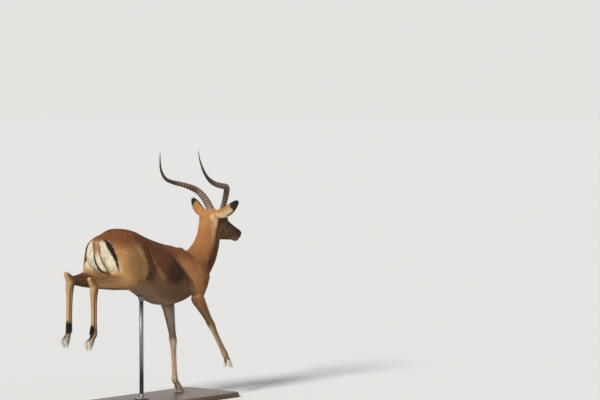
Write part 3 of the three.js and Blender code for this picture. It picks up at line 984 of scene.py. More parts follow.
def leg_folds(leg: Leg) -> list[Fold]:
    """The tendons, bones and hollows of one leg, set out along its joints."""

    def line(start: str, end: str, *spots: Triple) -> Array:
        """Points at shares of the way between two joints, moved ahead and away from the body."""
        return np.array(
            [leg.between(start, end, share) + vec(x, y * leg.side.value, 0) for share, x, y in spots]
        )

    if leg.fore:
        arm, low = ("elbow", "knee"), ("knee", "fetlock")
        tendons = [
            (line(*low, (0.2, -5, y), (0.5, -5, y), (0.84, -5, y)), 3.4, h)
            for y, h in ((13, -3.4), (-13, -3))
        ]
        rest = [
            (line(*arm, *((share, -2, 26 - 8 * share) for share in (0.02, 0.3, 0.7))), 6, -2.6),
            (np.concatenate([line(*arm, (0.98, 18, 0)), line(*low, (0.06, 17, 0))]), 8, 3),
            (line(*arm, (0.97, -22, 4)), 7, 4),
            (line(*arm, (0.02, -38, 4)), 15, 7),
            (line(*low, (0.97, -16, 0)), 8, 3),
        ]
    else:
        ham, low, lift = ("stifle", "hock"), ("hock", "fetlock"), vec(0, 0, 30)
        tendons = [
            (line(*low, (0.16, -6, y), (0.45, -6, y), (0.84, -6, y)), 3.8, h)
            for y, h in ((15, -3.6), (-15, -3.2))
        ]
        rest = [
            *(
                (line(*ham, (0.56, 0, y), (0.76, 0, y), (0.94, 0, y)) + lift, 6, h)
                for y, h in ((18, -7), (-18, -6))
            ),
            *((line(*low, (0.02, 6, y)), 9, 3.5) for y in (16, -16)),
            (line("heel", "hock", (-0.02, -4, 0)), 9, 3),
            (line(*low, (0.98, -14, 0)), 8, 3),
        ]
    return [Fold(*row, False) for row in tendons + rest]


@dataclass
class Lids:
    """The lids of one eye, worked into the skin round the eyeball.

    Lengths are in millimetres on the eyeball's surface, along the slit and across it.
    """

    side: Side
    half_slit: float = 14.8
    upper: float = 8.2
    lower: float = 6.6
    slant: float = -0.22
    thickness: float = 1.7
    reach: float = 30.0

    def axes(self) -> Array:
        """Rows: forwards along the slit, up across it and out of the eye, in the head's frame."""
        out = unit(vec(0.2, self.side.value, 0.16))
        ahead = unit(vec(1, 0, 0) - out * out[0])
        return np.stack([ahead, np.cross(out, ahead) * -self.side.value, out])

    @property
    def centre(self) -> Array:
        """The eyeball's middle in the head's frame."""
        return EYE_AT * vec(1, self.side.value, 1)

    def measure(self, points: Array) -> tuple[Array, Array, Array, Array]:
        """Where points of the head's frame lie about the eye.

        Returns:
            The directions from the eye's middle, how far inside the opening each point is, its
            distance from the middle of the slit, and its height over the slit, all on the eyeball.
        """
        away = unit(points - self.centre)
        local = away @ self.axes().T
        angle = np.arccos(np.clip(local[:, 2], -1, 1))
        flat = unit(local[:, :2]) * (angle * EYE_RADIUS)[:, None]
        along, height = flat.T
        bow = np.clip(1 - (along / self.half_slit) ** 2, 0, 1) ** 0.8
        middle = self.slant * along + 1.0
        inside = np.minimum(middle + self.upper * bow - height, height - middle + self.lower * bow)
        beyond = np.maximum(np.abs(along) - self.half_slit, 0)
        return away, inside - beyond, np.hypot(along, height), height - middle

    def shape(self, points: Array) -> Array:
        """Draws the skin over the eyeball, thick at the opening's rim and sunk within it."""
        away, inside, distance, height = self.measure(points)
        rim = 0.9 * np.exp(-((inside / 2.0) ** 2))
        crease = -0.9 * np.exp(-(((inside + 5.5) / 1.6) ** 2)) * smooth(0, 3, height)
        radius = EYE_RADIUS + self.thickness + rim + crease - 5.5 * smooth(-0.5, 1.1, inside)
        target = self.centre + away * radius[:, None]
        gap = norm(points - self.centre)
        share = smooth(self.reach, 17, distance) * smooth(3.2, 2.2, gap / EYE_RADIUS)
        return blend(points, target, share)


@dataclass
class Skin:
    """The one skin over all the flesh, built in the ram's frame and kept in the row's."""

    place: Place
    flesh: Flesh = field(default_factory=Flesh)
    core_voxel: float = 5.6
    fine_voxel: float = 2.1
    face_count: int = 150_000
    core_rounds: int = 45
    junctions: tuple[tuple[float, float, float, float, bool], ...] = (
        (330, 100, 530, 70, True),
        (-262, 122, 650, 60, True),
        (-545, 97, 700, 34, True),
        (-430, 0, 905, 45, False),
        (560, -5, 985, 60, False),
        (556, 42, 1012, 40, False),
        (546, -56, 1008, 40, False),
    )

    def build(self) -> Object:
        """Joins the flesh, smooths it, works in the folds and lids and leaves one closed mesh."""
        mesh = self.joined()
        mesh = self.thinned(mesh)
        mesh = self.finer_at(mesh)
        ram = self.place.to_ram(points_of(mesh))
        ram = ram + normals_of(mesh) * self.folds(ram)[:, None]
        head = HEAD.into(ram)
        for side in Side:
            head = Lids(side).shape(head)
        set_points(mesh, self.place.to_row(HEAD.out(head)))
        mesh.shade_smooth()
        mesh.name = "skin"
        return new_object(mesh)

    def remeshed(self, parts: Sequence[Mesh | Surface], voxel: float) -> Mesh:
        """One even mesh round several closed surfaces that run into each other."""
        surfaces = []
        for part in parts:
            if isinstance(part, Surface):
                surfaces.append(part.moved(self.place.to_row))
            else:
                surfaces.append(Surface(points_of(part), triangles_of(part)))
        whole = Surface.join(surfaces)
        step = {"type": "REMESH", "mode": "VOXEL", "voxel_size": voxel * MM}
        return with_modifiers(new_mesh("union", whole.points, whole.faces), [step])

    def joined(self) -> Mesh:
        """The body, softened where its muscles meet, with the finer parts grown onto it."""
        core = self.remeshed([self.flesh.core()], self.core_voxel)
        points = relax(points_of(core), edges_of(core), self.core_rounds, 0.6, 0.62)
        set_points(core, relax(points, edges_of(core), 6, 0.5))
        core = with_modifiers(core, [{"type": "SUBSURF", "levels": 1, "render_levels": 1}])
        mesh = self.remeshed([core, self.flesh.fine()], self.fine_voxel)
        edges = edges_of(mesh)
        points = relax(points_of(mesh), edges, 4, 0.5, 0.52)
        ram = self.place.to_ram(points)
        near = np.zeros(len(ram))
        for x, y, z, size, paired in self.junctions:
            for sign in (1, -1) if paired else (1,):
                gap = norm(ram - vec(x, y * sign, z))
                near = np.maximum(near, smooth(size, size * 0.45, gap))
        set_points(mesh, relax(points, edges, 36, 0.6, where=near))
        return mesh

    def thinned(self, mesh: Mesh) -> Mesh:
        """Fewer triangles on the body, and all of them kept on the head."""
        ram = self.place.to_ram(points_of(mesh))
        weights = np.round(1 - on_head(ram), 1)
        total = len(triangles_of(mesh))
        step = {
            "type": "DECIMATE",
            "ratio": self.face_count / total,
            "vertex_group": "loose",
            "vertex_group_factor": 1.0,
        }
        return with_modifiers(mesh, [step], {"loose": weights})

    def finer_at(self, mesh: Mesh) -> Mesh:
        """Splits the faces round the eyes, nostrils and mouth."""
        work = bmesh.new()
        work.from_mesh(mesh)
        head = HEAD.into(self.place.to_ram(points_of(mesh)))
        even = one_side(head)
        near = (norm(even - EYE_AT) < 30) | (norm(even - NOSTRIL_AT) < 24)
        work.edges.ensure_lookup_table()
        ends = near[edges_of(mesh)].all(1)
        chosen = [work.edges[index] for index in np.flatnonzero(ends)]
        bmesh.ops.subdivide_edges(work, edges=chosen, cuts=1, use_grid_fill=True)
        bmesh.ops.triangulate(work, faces=work.faces)
        work.to_mesh(mesh)
        work.free()
        mesh.update()
        return mesh

    def folds(self, points: Array) -> Array:
        """How far the folds move each point of the skin out or in."""
        head = HEAD.into(points)
        share = on_head(points)
        body = sum(fold.press(points) for fold in BODY_FOLDS)
        legs = sum(fold.press(points) for leg in LEGS for fold in leg_folds(leg))
        face = sum(fold.press(head) for fold in HEAD_FOLDS)
        return (body + legs) * (1 - share) + face * share


# ---- markings and painted shade -----------------------------------------------------------------


def paint(*numbers: float) -> Array:
    """A field that holds a colour as an array."""
    return field(default_factory=lambda: vec(*numbers))


@dataclass(frozen=True)
class Palette:
    """The coat's colours, linear; several are darkened by painted shade."""

    saddle: Array = paint(0.285, 0.097, 0.034)
    # the saddle's brown darkened by painted shade, for the flank and withers
    flank: Array = paint(0.165, 0.06, 0.024)
    # painted shadow, used behind the shoulder, in front of the thigh, at the shoulder's front and beside the
    # tail, and for a darker line along the croup
    shade: Array = paint(0.078, 0.036, 0.02)
    band: Array = paint(0.25, 0.135, 0.068)
    thigh: Array = paint(0.62, 0.335, 0.13)
    shoulder: Array = paint(0.5, 0.225, 0.082)
    neck: Array = paint(0.47, 0.2, 0.068)
    nape: Array = paint(0.38, 0.15, 0.052)
    gold: Array = paint(0.62, 0.31, 0.1)
    # the neck's front and the jaw's underside, darkened by painted shade
    throat_shade: Array = paint(0.165, 0.076, 0.037)
    white: Array = paint(0.88, 0.77, 0.58)
    # the white underside, darkened by painted shade
    belly: Array = paint(0.37, 0.24, 0.14)
    black: Array = paint(0.017, 0.012, 0.01)
    crown: Array = paint(0.62, 0.24, 0.06)
    # the face's brown, darkened by painted shade
    face: Array = paint(0.125, 0.062, 0.028)
    blaze: Array = paint(0.05, 0.028, 0.018)
    cheek: Array = paint(0.8, 0.58, 0.33)
    lip: Array = paint(0.2, 0.14, 0.1)
    leg: Array = paint(0.38, 0.2, 0.085)
    # a dark brown for the darker hair inside the gaskin and for painted shade on the legs
    gaskin: Array = paint(0.12, 0.06, 0.026)
    low_leg: Array = paint(0.46, 0.275, 0.13)
    pale_leg: Array = paint(0.74, 0.56, 0.35)
    # the forelegs' white inner side, greyed by painted shade
    shaded_inner_leg: Array = paint(0.5, 0.43, 0.36)


# Edges of the markings and of painted shade: a height or a place at each of a few heights or places.
BELLY_EDGE = rows_of("""
    -420 560; -190 600; -160 640; -145 653; -90 662; -23 618; 76 562; 181 540; 250 516; 300 470; 420 460
""")
SADDLE_EDGE = rows_of("-130 722; -91 720; -48 724; 18 682; 100 658; 175 672; 230 700; 300 720")
THIGH_TOP = rows_of("-440 930; -398 916; -372 899; -338 887; -248 894; -179 890; -100 884")
THIGH_EDGE = rows_of("""
    600 -165; 620 -135; 640 -112; 665 -96; 695 -87; 730 -86; 778 -95; 820 -105; 860 -109; 904 -101;
    950 -90
""")
SHOULDER_EDGE = rows_of("500 318; 540 313; 594 297; 654 266; 714 220; 763 168; 810 130; 841 95")
NECK_EDGE = rows_of("600 500; 680 476; 721 447; 747 409; 771 375; 797 327; 826 272; 860 250")
# the edge of the painted shade on the front of the neck
THROAT_SHADE_EDGE = rows_of("600 470; 690 462; 744 456; 782 500; 826 539; 872 557; 931 561; 976 563")
# the edge of the painted shade at the shoulder's front
SHOULDER_FRONT_SHADE = rows_of("560 372; 620 384; 680 388; 740 372; 780 350")
FACE_EDGE = rows_of("-115 78; -59 60; -17 45; 2 55; 19 72; 40 84")  # in the head's frame
# the crease in front of the thigh, along which painted shade runs
CREASE = rows_of("-98 105 915; -106 105 880; -109 105 847; -97 118 778; -86 119 722; -88 100 684")
# the painted shadow in front of the thigh
THIGH_SHADOW = rows_of("-82 100 890; -84 112 832; -72 118 776; -48 124 724; -60 118 690")
# the painted highlight along the flank's fold
FLANK_HIGHLIGHT = rows_of("-61 104 832; -44 118 775; -10 126 716; 23 124 680")
PALE_PATCH = rows_of("526 62 1002; 546 60 986; 554 56 966")
PALE_STRIP = rows_of("540 60 960; 538 60 905")
# The black crescents behind: the middle line and half widths along it.
CRESCENTS = {
    Side.LEFT: rows_of("""
        -402 40 914 13; -413 44 900 18; -424 55 876 23; -431 62 852 24; -427 68 830 21; -408 86 808 13;
        -402 95 790 5
    """),
    Side.RIGHT: rows_of("""
        -392 54 922 11; -387 64 909 15; -389 88 878 16.5; -385 112 839 13; -375 129 794 10;
        -366 137 749 6.5; -366 136 738 3
    """),
}
GLANDS = {
    Side.LEFT: rows_of("-564 80 444; -562 79 424; -561 78 400"),
    Side.RIGHT: rows_of("-546 -84 432; -549 -82 408; -552 -80 382"),
}


def edge(values: Array, corners: Array) -> Array:
    """The second number of the corners at each value of the first."""
    return np.interp(values, *corners.T)


@dataclass
class Pelt:
    """The markings, with painted shade and light, as a colour anywhere on the skin, in the ram's frame."""

    palette: Palette = field(default_factory=Palette)
    ragged: float = 5.0
    noise: Noise = field(default_factory=lambda: Noise(1))

    def colours(self, points: Array, normals: Array) -> Array:
        """The colour at each point.

        Each marking is painted over the last through a soft mask, and the masks read places that
        are shaken by a few millimetres, so that hairs cross their edges.
        """
        shake = np.stack([self.noise.layered(points + 90 * axis, 9) for axis in range(3)], 1)
        spots = points + shake * self.ragged
        colour = self.body(spots, normals)
        for leg in LEGS:
            colour = self.leg(colour, spots, normals, leg)
        colour = self.rump(colour, spots)
        colour = self.tail(colour, spots)
        head = HEAD.into(points + shake * 1.6)
        front = on_head(spots) * smooth(-5, 5, head[:, 0] - edge(head[:, 2], FACE_EDGE))
        return blend(colour, self.face(head), front)

    def body(self, points: Array, normals: Array) -> Array:
        """Back, flanks, thighs, shoulders, neck and underside, with painted shade and a painted highlight."""
        tone = self.palette
        x, y, z = points.T
        away = np.abs(y)
        even = one_side(points)
        top = blend(tone.flank, tone.saddle, smooth(-90, -230, x))
        colour = blend(np.tile(tone.band, (len(points), 1)), top, smooth(-55, 45, z - edge(x, SADDLE_EDGE)))
        # where the painted shadow behind the shoulder lies
        patch = np.hypot((x - 128) / 88, (z - 705) / 76)
        # where a painted highlight runs along the flank's fold
        gap, reach, _ = nearest_on(even, FLANK_HIGHLIGHT)
        fold = smooth(0, 7, 4 + 0.1 * reach - gap) * smooth(-8, 6, x - edge(z, THIGH_EDGE))
        # where a painted shadow darkens the end of the flank's fold to near black
        fold_shadow = norm(even - vec(-72, 119, 708))
        spine = smooth(15, 4, away) * smooth(0.2, 0.6, normals[:, 2]) * smooth(-330, -290, x)
        # Painted shade behind the shoulder and in front of the thigh, a painted highlight along the fold, a
        # painted shadow at the fold's end, and a darker line along the croup
        colour = painted(
            colour,
            (tone.shade, smooth(1.2, 0.55, patch) * 0.95),
            (tone.shade, smooth(40, 12, nearest_on(even, THIGH_SHADOW)[0]) * 0.7),
            (tone.leg, fold * 0.62),
            (tone.black, smooth(17, 6, fold_shadow) * 0.8),
            (tone.shade, spine * 0.6),
        )
        streak = self.noise.layered(points * vec(1, 1, 0.12), 8)
        sides = smooth(610, 700, z) * smooth(-130, -90, x) * smooth(300, 220, x)
        colour = colour * (1 + 0.2 * streak * sides)[:, None]
        # Painted shade: the thigh darkens downwards and at its lower front
        thigh = blend(tone.thigh, tone.leg, smooth(715, 640, z) * 0.75)
        low = smooth(-70, -8, x - edge(z, THIGH_EDGE)) * smooth(735, 660, z)
        thigh = blend(thigh, tone.saddle * 0.8, low * 0.6)
        on_thigh = smooth(5, -5, x - edge(z, THIGH_EDGE)) * smooth(26, -52, z - edge(x, THIGH_TOP))
        behind = edge(z, SHOULDER_EDGE)
        shoulder = blend(tone.shoulder, tone.flank * 1.25, smooth(735, 815, z) * 0.85)
        # painted shade over the shoulder's front
        shoulder = painted(
            shoulder,
            (
                tone.shade,
                smooth(-40, -4, x - edge(z, SHOULDER_FRONT_SHADE)) * smooth(540, 600, z) * smooth(770, 700, z) * 0.35,
            ),
            (tone.leg, smooth(560, 480, z) * 0.5),
        )
        # a painted shadow along the shoulder's rear edge
        shoulder_shadow = smooth(36, 4, np.abs(x - behind + 20)) * smooth(590, 670, z) * smooth(840, 780, z)
        colour = painted(
            colour,
            (thigh, on_thigh),
            (tone.shade, shoulder_shadow * 0.8),
            (shoulder, smooth(-9, 7, x - behind)),
        )
        # painted shade along the crease in front of the thigh
        crease_shade = smooth(13, 3, nearest_on(even, CREASE)[0]) * smooth(0.1, 0.5, np.abs(normals[:, 1]))
        colour = colour * (1 - 0.5 * crease_shade)[:, None]
        neck = blend(tone.neck, tone.nape, smooth(880, 770, z) * 0.75)
        # past this edge the front of the neck is darkened by painted shade
        line = x - edge(z, THROAT_SHADE_EDGE)
        pale = np.maximum(
            smooth(24, 7, nearest_on(even, PALE_PATCH)[0]) * 0.95,
            smooth(22, 5, nearest_on(even, PALE_STRIP)[0]) * 0.5,
        )
        neck = painted(
            neck,
            (tone.gold, smooth(900, 985, z) * 0.75),
            (tone.cheek, smooth(-60, -16, line) * smooth(780, 880, z) * 0.25),
            (tone.cheek, pale),
            (tone.throat_shade, smooth(-9, 7, line) * smooth(1000, 975, z) * 0.92),
        )
        colour = blend(colour, neck, smooth(-16, 18, x - edge(z, NECK_EDGE)) * smooth(600, 680, z))
        # painted shade on the faces turned forwards, at the chest and the shoulders' front
        ahead = smooth(0.2, 0.85, normals[:, 0]) * smooth(240, 340, x) * smooth(800, 700, z)
        colour = colour * (1 - 0.4 * ahead)[:, None]
        # the underside's white, darkened by painted shade
        under = smooth(18, -22, z - edge(x, BELLY_EDGE)) * smooth(395, 350, x)
        chest = smooth(40, 10, away) * smooth(250, 330, x) * smooth(660, 600, z)
        return blend(colour, tone.belly, np.maximum(under, chest * 0.85))

    def rump(self, colour: Array, points: Array) -> Array:
        """The white behind, between two black crescents."""
        tone = self.palette
        x, y, z = points.T
        even = one_side(points)
        for side, rows in CRESCENTS.items():
            mine = y * side.value > 0
            gap, reach, _ = nearest_on(even, rows[:, :3])
            lengths = lengths_along(rows[:, :3])
            half = np.interp(reach, lengths, rows[:, 3])
            middle = edge(z, rows[::-1, [2, 1]])
            white = smooth(3, -3, np.abs(y) - middle) * smooth(916, 906, z)
            white = white * smooth(-326, -350, x) * smooth(722, 758, z)
            low = blend(tone.white, tone.thigh, smooth(800, 730, z) * 0.45)
            colour = painted(
                colour,
                (low, white * mine),
                (tone.black, smooth(half + 2.5, half - 2.5, gap) * smooth(-340, -352, x) * mine),
            )
        return colour

    def tail(self, colour: Array, points: Array) -> Array:
        """The white tail, brown at its root, with a black line down the side that shows and a painted shadow
        along the other edge.
        """
        tone = self.palette
        near = tail_share(points)
        across, behind, share = near[:, 0], near[:, 1], near[:, 2]
        on_tail = near[:, 3] > 0
        tail = np.tile(tone.white, (len(points), 1))
        middle = smooth(-0.95, -0.7, across)
        line = smooth(0.16, 0.34, across) * smooth(-12, -6, behind) * smooth(0.03, 0.1, share)
        tail = painted(
            tail,
            (tone.thigh * vec(0.9, 0.72, 0.62), smooth(0.55, 0.3, share) * middle * 0.85),
            (tone.saddle, smooth(0.2, 0.06, share) * 0.9),
            (tone.black, np.maximum(line, smooth(0.94, 1.0, share) * 0.5)),
            # a painted shadow along the tail's right edge
            (tone.shade, smooth(-0.78, -0.98, across) * smooth(0.9, 0.7, share) * 0.6),
        )
        return np.where(on_tail[:, None], tail, colour)

    def leg(self, colour: Array, points: Array, normals: Array, leg: Leg) -> Array:
        """One leg: tan outside, pale or dark inside, with painted shade and light on some sides and a black
        brush behind the hind ones.
        """
        tone = self.palette
        side = leg.side.value
        joints = [leg.joint(name) for name in (*leg.bones[0], "fetlock")]
        line = np.array([*joints, leg.foot.out(vec(6, 0, -30))])
        gap, reach, _ = nearest_on(points, line)
        upper = float(norm(line[1] - line[0]))
        lower = float(norm(line[2] - line[1]))
        ahead, behind = smooth(0.2, 0.85, normals[:, 0]), smooth(0.1, 0.8, -normals[:, 0])
        inside = smooth(0.05, 0.6, -normals[:, 1] * side)
        high = smooth(upper * 1.02, upper * 0.9, reach)
        shade = blend(tone.leg, tone.low_leg, smooth(upper * 0.85, upper + lower * 0.35, reach))
        if leg.fore:
            mine = smooth(70, 48, gap) * smooth(-10, 60, reach) * smooth(20, 40, points[:, 1] * side)
            # the inner side's white, greyed by painted shade and darker lower down
            grey = blend(
                tone.shaded_inner_leg * 1.15, tone.shaded_inner_leg * vec(0.66, 0.55, 0.5),
                smooth(upper * 0.45, upper * 0.8, reach),
            )
            # whiter round the knee: the leg's pale hair, with painted light
            knee = smooth(48, 22, np.abs(reach - upper - 12))
            pale = np.maximum(inside, behind * 0.5) * (1 - high)
            shade = painted(
                shade,
                (tone.shoulder, smooth(upper * 0.6, 0, reach) * 0.5),
                # painted shade on the upper foreleg: its front on the left leg, its back on the right
                (tone.gaskin, (ahead if leg.side is Side.LEFT else behind) * high * 0.8),
                (grey, inside * high * 0.95),
                (blend(tone.pale_leg, tone.white, knee * 0.55), pale * 0.95),
            )
        else:
            mine = smooth(75, 50, gap) * smooth(40, 130, reach) * smooth(20, 40, points[:, 1] * side)
            above = smooth(0.1, 0.7, normals[:, 2])
            shade = painted(
                shade,
                # dark on the gaskin's inner and upper sides: partly darker hair, partly painted shade
                (tone.gaskin, np.maximum(inside * 0.85, above * 0.5) * high),
                # painted shade under the gaskin
                (tone.gaskin * 0.6, smooth(-0.45, -0.9, normals[:, 2]) * high * 0.85),
                (tone.leg, (1 - high) * 0.5),
                # paler on the back of the hind cannon: painted light from behind
                (tone.pale_leg * vec(0.85, 0.74, 0.6), behind * (1 - high) * 0.65),
            )
        # painted shade on the faces turned forwards and to the right
        shaded_side = smooth(0.35, 0.9, normals[:, 0] * 0.6 - normals[:, 1] * 0.8)
        foot = leg.foot.into(points)
        pastern = smooth(upper + lower * 1.0, upper + lower + 24, reach)
        heel = smooth(-6, -14, foot[:, 0] + foot[:, 2] * 0.7 + 4) * pastern
        shade = painted(
            shade,
            # painted shade on the front of the lower leg
            (tone.leg * (1 if leg.fore else 0.6), ahead * (1 - high) * (0.4 if leg.fore else 0.85)),
            (tone.gaskin, shaded_side * (0.4 if leg.fore else 0.75 * (1 - high))),
            (tone.face, pastern * 0.25),
            (tone.black, heel * 0.5 * smooth(12, 6, np.abs(foot[:, 1]))),
            (tone.black, smooth(4, -3, foot[:, 2]) * smooth(45, 30, np.abs(foot[:, 0])) * 0.4),
        )
        if not leg.fore:
            spot, down, _ = nearest_on(points, GLANDS[leg.side])
            shade = blend(shade, tone.black, smooth(3, -3, spot - 20 + 0.16 * down))
        return blend(colour, shade, mine)

    def face(self, head: Array) -> Array:
        """The head, in its own frame, its brown darkened by painted shade."""
        tone = self.palette
        x, y, z = head.T
        away = np.abs(y)
        even = one_side(head)

        def near(line: str, size: float, soft: float) -> Array:
            """A soft mask round a line."""
            return smooth(size + soft, size - soft, nearest_on(even, rows_of(line))[0])

        colour = np.tile(tone.face, (len(head), 1))
        nose = smooth(254, 264, x) * smooth(-38, -30, z) * smooth(4, -4, z)
        mouth = "268 10 -40; 256 22 -41; 236 27 -41; 212 28 -37; 198 27 -34"
        colour = painted(
            colour,
            (tone.crown, smooth(84, 50, x) * smooth(10, 36, z)),
            (tone.leg, near("112 40 -34; 138 34 -46; 158 29 -53", 6, 9) * 0.5),
            (tone.leg, near("88 46 -30; 92 45 -52", 5, 8) * 0.4),
            (tone.lip, near("104 46 -8; 134 38 -14; 160 31 -20", 7, 8) * 0.4),
            # painted shade under the jaw
            (tone.throat_shade, smooth(-52, -76, z) * smooth(200, 150, x) * 0.6),
            (tone.blaze, smooth(24, 12, away) * smooth(84, 126, x) * smooth(-14, 2, z) * 0.9),
            (tone.blaze, smooth(16, 6, away) * smooth(96, 66, x) * smooth(30, 46, z) * 0.5),
            (tone.blaze, smooth(180, 235, x) * smooth(-50, -34, z) * 0.75),
            (tone.cheek, near("84 38 39; 104 43 42; 124 38 35", 4.2, 2.4) * 0.5),
            (tone.cheek, near("88 55 2; 104 56 -3; 122 50 -2", 3.6, 2.4) * 0.3),
            (tone.blaze, near("124 44 10; 142 34 0; 158 30 -8", 4, 3) * 0.7),
            (tone.lip, near("262 18 -38; 236 27 -38; 212 28 -33", 4, 4) * 0.5),
            (tone.lip, smooth(-44, -56, z) * smooth(186, 232, x) * 0.6),
            (tone.black, nose * 0.92),
            (tone.black, near(mouth, 1.5, 1.2) * 0.85),
        )
        for side in Side:
            _, inside, _, _ = Lids(side).measure(head)
            mine = (y * side.value > 0) & (norm(head - Lids(side).centre) < 34)
            colour = blend(colour, tone.black, mine * smooth(-3.4, -1.4, inside) * 0.93)
        return colour


TAIL_START = -432  # the tail is clear of the rump behind this


def tail_share(points: Array) -> Array:
    """Where points lie about the tail.

    Returns:
        For each point, its place across the tail in half widths, how far behind it lies, its
        share of the way to the tip, and 1 where the point belongs to the tail and 0 elsewhere.
    """
    line = TAIL[:, :3]
    _, reach, which = nearest_on(points, line)
    tangent = unit(np.diff(line, axis=0))[which]
    starts = lengths_along(line)
    foot = line[:-1][which] + tangent * (reach - starts[which])[:, None]
    off = points - foot
    across_axis = sideways(tangent)
    across = dot(off, across_axis)
    behind = -off[:, 0]
    width = np.interp(reach, starts, TAIL[:, 5])
    depth = np.interp(reach, starts, TAIL[:, 4])
    near = (np.abs(across) < width * 1.08 + 1) & (np.abs(off[:, 0]) < depth * 1.3 + 3)
    mine = (near & (points[:, 0] < TAIL_START)).astype(float)
    return np.stack([across / width, behind, reach / starts[-1], mine], 1)


# ---- the lie of the coat --------------------------------------------------------------------------

# Guides: place, the way the hair runs there, and its length. All are made on both sides.
GUIDES = rows_of("""
    -440 20 935 -0.8 0 -0.6 12; -405 70 905 -0.6 0.2 -0.8 12; -330 50 955 -1 0 -0.3 12;
    -250 110 900 -0.8 0.1 -0.6 12; -150 50 950 -1 0 -0.1 13; 0 20 900 -1 0 0 13; 0 100 850 -1 0 -0.3 13;
    130 20 868 -1 0 0 13; 130 100 810 -1 0 -0.4 13; 250 20 850 -1 0 -0.1 13; -60 122 770 -0.9 0 -0.45 13;
    60 132 710 -0.9 0 -0.45 13; 170 126 700 -0.8 0 -0.6 13; -60 105 650 -1 0 -0.25 14;
    60 105 590 -1 0 -0.2 15; 170 95 560 -1 0 -0.2 15; 0 20 545 -1 0 0 17; 150 20 510 -1 0 0 17;
    -150 30 630 -1 0 -0.1 14; 270 112 760 -0.45 0 -0.9 12; 320 120 640 -0.2 0 -1 11;
    350 100 560 -0.05 0 -1 11; 450 60 700 -0.5 0 -0.85 12; 470 10 630 -0.5 0 -0.85 13;
    390 10 560 -0.9 0 -0.3 13; -250 138 830 -0.4 0 -0.9 12; -330 132 780 -0.2 0 -1 12;
    -240 140 720 -0.45 0 -0.9 11; -310 134 690 -0.8 0 -0.6 10; -390 110 700 -0.9 0 -0.45 9;
    -420 70 850 -0.1 0.15 -1 14; -420 90 770 -0.1 0.1 -1 13; -425 20 800 0 0.2 -1 12;
    -330 70 660 -0.9 0 -0.3 11
""")
HEAD_GUIDES = rows_of("""
    262 14 -4 -1 0.1 0.1 3.2; 262 12 -46 -1 0.1 -0.1 3.6; 220 26 -24 -1 0.05 -0.1 4; 200 8 14 -1 0.15 0 4;
    170 30 -30 -1 0 -0.15 5; 170 10 -80 -1 0 0 6; 140 10 34 -1 0.15 0.05 5; 128 38 0 -1 0.1 -0.2 4.5;
    104 50 40 -1 -0.1 0.25 4.5; 104 52 -8 -1 0 -0.35 4.5; 90 44 -50 -1 0 -0.3 7; 90 12 56 -1 0.1 0 7;
    60 10 60 -1 0.15 0 10; 40 44 -20 -1 0 -0.5 8; 30 14 52 -1 0 0 9; 60 12 -76 -1 0 -0.2 9;
    10 30 30 -1 0 -0.4 8
""")


@dataclass
class Lie:
    """The way the hair runs and its length anywhere on the skin."""

    batch: int = 20_000
    softness: float = 60.0  # keeps the nearest guide from counting alone
    places: Array = field(init=False)
    ways: Array = field(init=False)
    lengths: Array = field(init=False)

    def __post_init__(self) -> None:
        rows = []
        for side in (1, -1):
            flip = np.array([1, side, 1, 1, side, 1, 1])
            rows += [np.array(guide) * flip for guide in GUIDES]
            for guide in HEAD_GUIDES:
                local = np.array(guide) * flip
                rows.append(np.concatenate([HEAD.out(local[:3]), HEAD.turn(local[3:6]), local[6:]]))
        for low, high in zip(NECK[2:-2], NECK[3:-1]):
            way = unit(low[:3] - high[:3])
            middle = (low[:3] + high[:3]) / 2
            length = np.interp(middle[2], (750, 960), (12, 8.5))
            for offset in (vec(0, 60, 0), vec(0, -60, 0), vec(70, 0, -25), vec(-70, 0, 25)):
                rows.append(np.array([*(middle + offset), *way, length]))
        for leg in LEGS:
            for start, end in leg.bones:
                way = unit(leg.joint(end) - leg.joint(start))
                for share in (0.25, 0.5, 0.75, 0.95):
                    size = {"elbow": 10 - 4 * share, "stifle": 10 - 3 * share}.get(start, 5.5)
                    rows.append(np.array([*leg.between(start, end, share), *way, size]))
            toe = leg.foot.out(vec(6, 0, -6))
            rows.append(np.array([*toe, *unit(toe - leg.joint("fetlock")), 5.5]))
            if not leg.fore:
                rows.append(np.array([*leg.joint("heel"), *unit(leg.joint("hock") - leg.joint("heel")), 6]))
        for low, high in zip(TAIL[:-1], TAIL[1:]):
            rows.append(np.array([*low[:3], *unit(high[:3] - low[:3]), 16]))
        rows = np.array(rows)
        self.places, self.ways, self.lengths = rows[:, :3], unit(rows[:, 3:6]), rows[:, 6]

    def at(self, points: Array) -> tuple[Array, Array]:
        """The hair's direction and length at each point, from the guides near it.

        Each guide counts by one over its distance to the fifth power.
        """
        directions = np.empty_like(points)
        lengths = np.empty(len(points))
        for start in range(0, len(points), self.batch):
            part = slice(start, start + self.batch)
            gap = norm(points[part, None] - self.places[None])
            share = 1 / (gap**2 + self.softness) ** 2.5
            share /= share.sum(1, keepdims=True)
            directions[part] = share @ self.ways
            lengths[part] = share @ self.lengths
        return unit(directions), lengths


# ---- the coat -----------------------------------------------------------------------------------

TUFT_LIMIT = 19_500  # tufts in one piece, of ten triangles each
PATCH = 0.003  # the size of one tuft's patch on its piece's map
# One tuft: two triangles of points and a tip. Rows are shares along, across and up.
TUFT_SHAPE = rows_of("0 -0.5 -0.6; 0 0.5 -0.6; 0 0 0.6; 0.5 -0.4 0.1; 0.5 0.4 0.1; 0.5 0 1; 1 0 0.3")
TUFT_FACES = rows_of("0 2 1; 0 3 5; 0 5 2; 1 2 5; 1 5 4; 0 1 4; 0 4 3; 3 6 5; 4 5 6; 3 4 6").astype(int)


